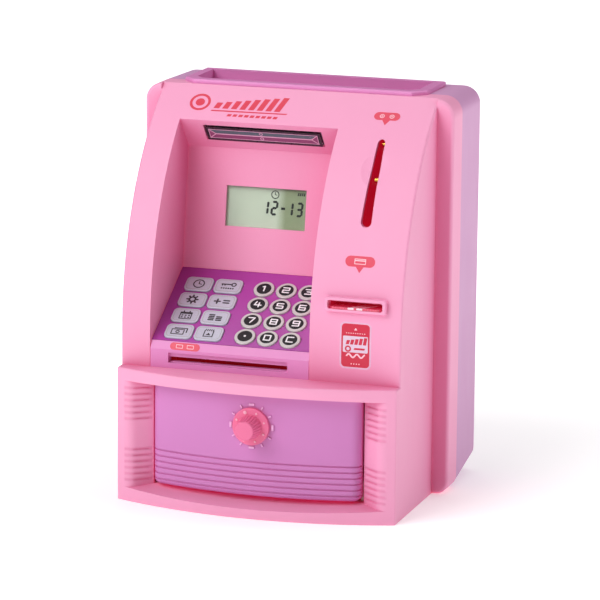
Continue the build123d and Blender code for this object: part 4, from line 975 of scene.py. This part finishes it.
def add_sticker(hood, x, z):
    """The sticker under the card slot, with a white panel and made-up marks."""
    place = curved_place(hood, x, z)
    edge = [rounded_box(14.6, 21.2, 2.2)]
    raised("sticker_film", edge, place, STICKER_FILM, "casing", height=0.06, step=1.5)
    red = [rounded_box(13.1, 19.6, 1.7)]
    raised("sticker_red", red, place, STICKER_RED, "casing", height=0.09, foot=0.0, step=1.5)
    panel = [rounded_box(11.6, 7.4, 0.5, (0, 0.6))]
    raised("sticker_panel", panel, place, PANEL_INK, "casing", height=0.12, foot=0.0, step=1.5)
    bars = []
    for index in range(5):
        height = 1.9 + 0.35 * index
        bars.append(box_shape(1.5, height, (-3.5 + 2.0 * index, 1.3 + height / 2 - 0.8), 0.6))
    bars += ring_shapes(1.1, 0.7, (-3.4, -1.5)) + [box_shape(5.0, 0.9, (1.9, -1.4), 0.4)]
    raised("sticker_bars", bars, place, STICKER_RED, "casing", height=0.15, foot=0.08, step=1.5)
    marks = [[(-0.75, 7.0), (0.75, 7.0), (0, 8.1)]]
    marks += [box_shape(0.5, 0.4, (-4.2 + 1.05 * index, 5.6)) for index in range(9)]
    wave = [(-4.0 + 0.55 * index, -4.6 + 0.8 * math.sin(index * 0.9)) for index in range(16)]
    marks += line_shapes(wave, 0.7)
    marks += [box_shape(0.5, 0.5, (-1.8 + 1.2 * index, -8.3)) for index in range(4)]
    raised("sticker_marks", marks, place, PALE_INK, "casing", height=0.12, foot=0.0, step=1.5)


# ---------------------------------------------------------------- stage, lights and camera

def add_floor():
    bm = bmesh.new()
    bmesh.ops.create_grid(bm, x_segments=8, y_segments=8, size=6.0)
    mesh = bpy.data.meshes.new("floor")
    bm.to_mesh(mesh)
    bm.free()
    mesh.materials.append(floor_finish())
    floor = bpy.data.objects.new("floor", mesh)
    bpy.context.scene.collection.objects.link(floor)


def direction(azimuth, elevation):
    """The way from the object to a viewer or a light; azimuth 0 is in front of it."""
    a, e = math.radians(azimuth), math.radians(elevation)
    return Vector((math.sin(a) * math.cos(e), -math.cos(a) * math.cos(e), math.sin(e)))


def add_light(name, azimuth, elevation, distance, size, power):
    """A soft rectangular light that faces the object's middle."""
    lamp = bpy.data.lights.new(name, "AREA")
    lamp.size = size
    lamp.energy = power
    light = bpy.data.objects.new(name, lamp)
    way = direction(azimuth, elevation)
    light.location = Vector((0, 0, 0.09)) + way * distance
    light.rotation_euler = (-way).to_track_quat("-Z", "Y").to_euler()
    bpy.context.scene.collection.objects.link(light)


def add_lights():
    world = bpy.data.worlds.new("studio")
    world.use_nodes = True
    background = world.node_tree.nodes["Background"]
    background.inputs["Color"].default_value = (1.0, 0.99, 0.99, 1.0)
    background.inputs["Strength"].default_value = 0.07
    bpy.context.scene.world = world
    add_light("key_light", -34, 38, 1.7, 1.2, 21)
    add_light("side_light", 98, 26, 1.8, 1.0, 8.6)
    add_light("top_light", 180, 75, 1.8, 1.4, 13)


def add_camera():
    """The photograph's view: slightly from the right and from above, with a long lens."""
    azimuth, elevation, roll = 18.45, 12.71, 0.44
    target = Vector((-2.66, -0.5, 77.0)) * MM
    distance = 1.7157
    back = direction(azimuth, elevation)
    side = Z.cross(back).normalized()
    up = back.cross(side)
    turn = math.radians(roll)
    camera_x = side * math.cos(turn) + up * math.sin(turn)
    camera_y = up * math.cos(turn) - side * math.sin(turn)
    camera = bpy.data.objects.new("camera", bpy.data.cameras.new("camera"))
    axes = Matrix((camera_x, camera_y, back)).transposed().to_4x4()
    camera.matrix_world = Matrix.Translation(target + back * distance) @ axes
    camera.data.sensor_width = 36.0
    camera.data.lens = 224.25
    camera.data.shift_x = 0.0273
    camera.data.shift_y = 0.039
    camera.data.clip_start = 0.05
    camera.data.clip_end = 50.0
    bpy.context.scene.collection.objects.link(camera)
    bpy.context.scene.camera = camera


def let_light_through():
    """Clear covers cast no shadow on what lies behind them."""
    for name in ("screen_window", "lamp_cover"):
        nodes[name].visible_shadow = False


add_camera()
add_floor()
add_lights()
finish_frame()
let_light_through()
add_keys()
add_dial_marks()
add_lamp_facets()
add_display()
add_casing_prints()
bpy.context.scene.view_settings.view_transform = "Standard"
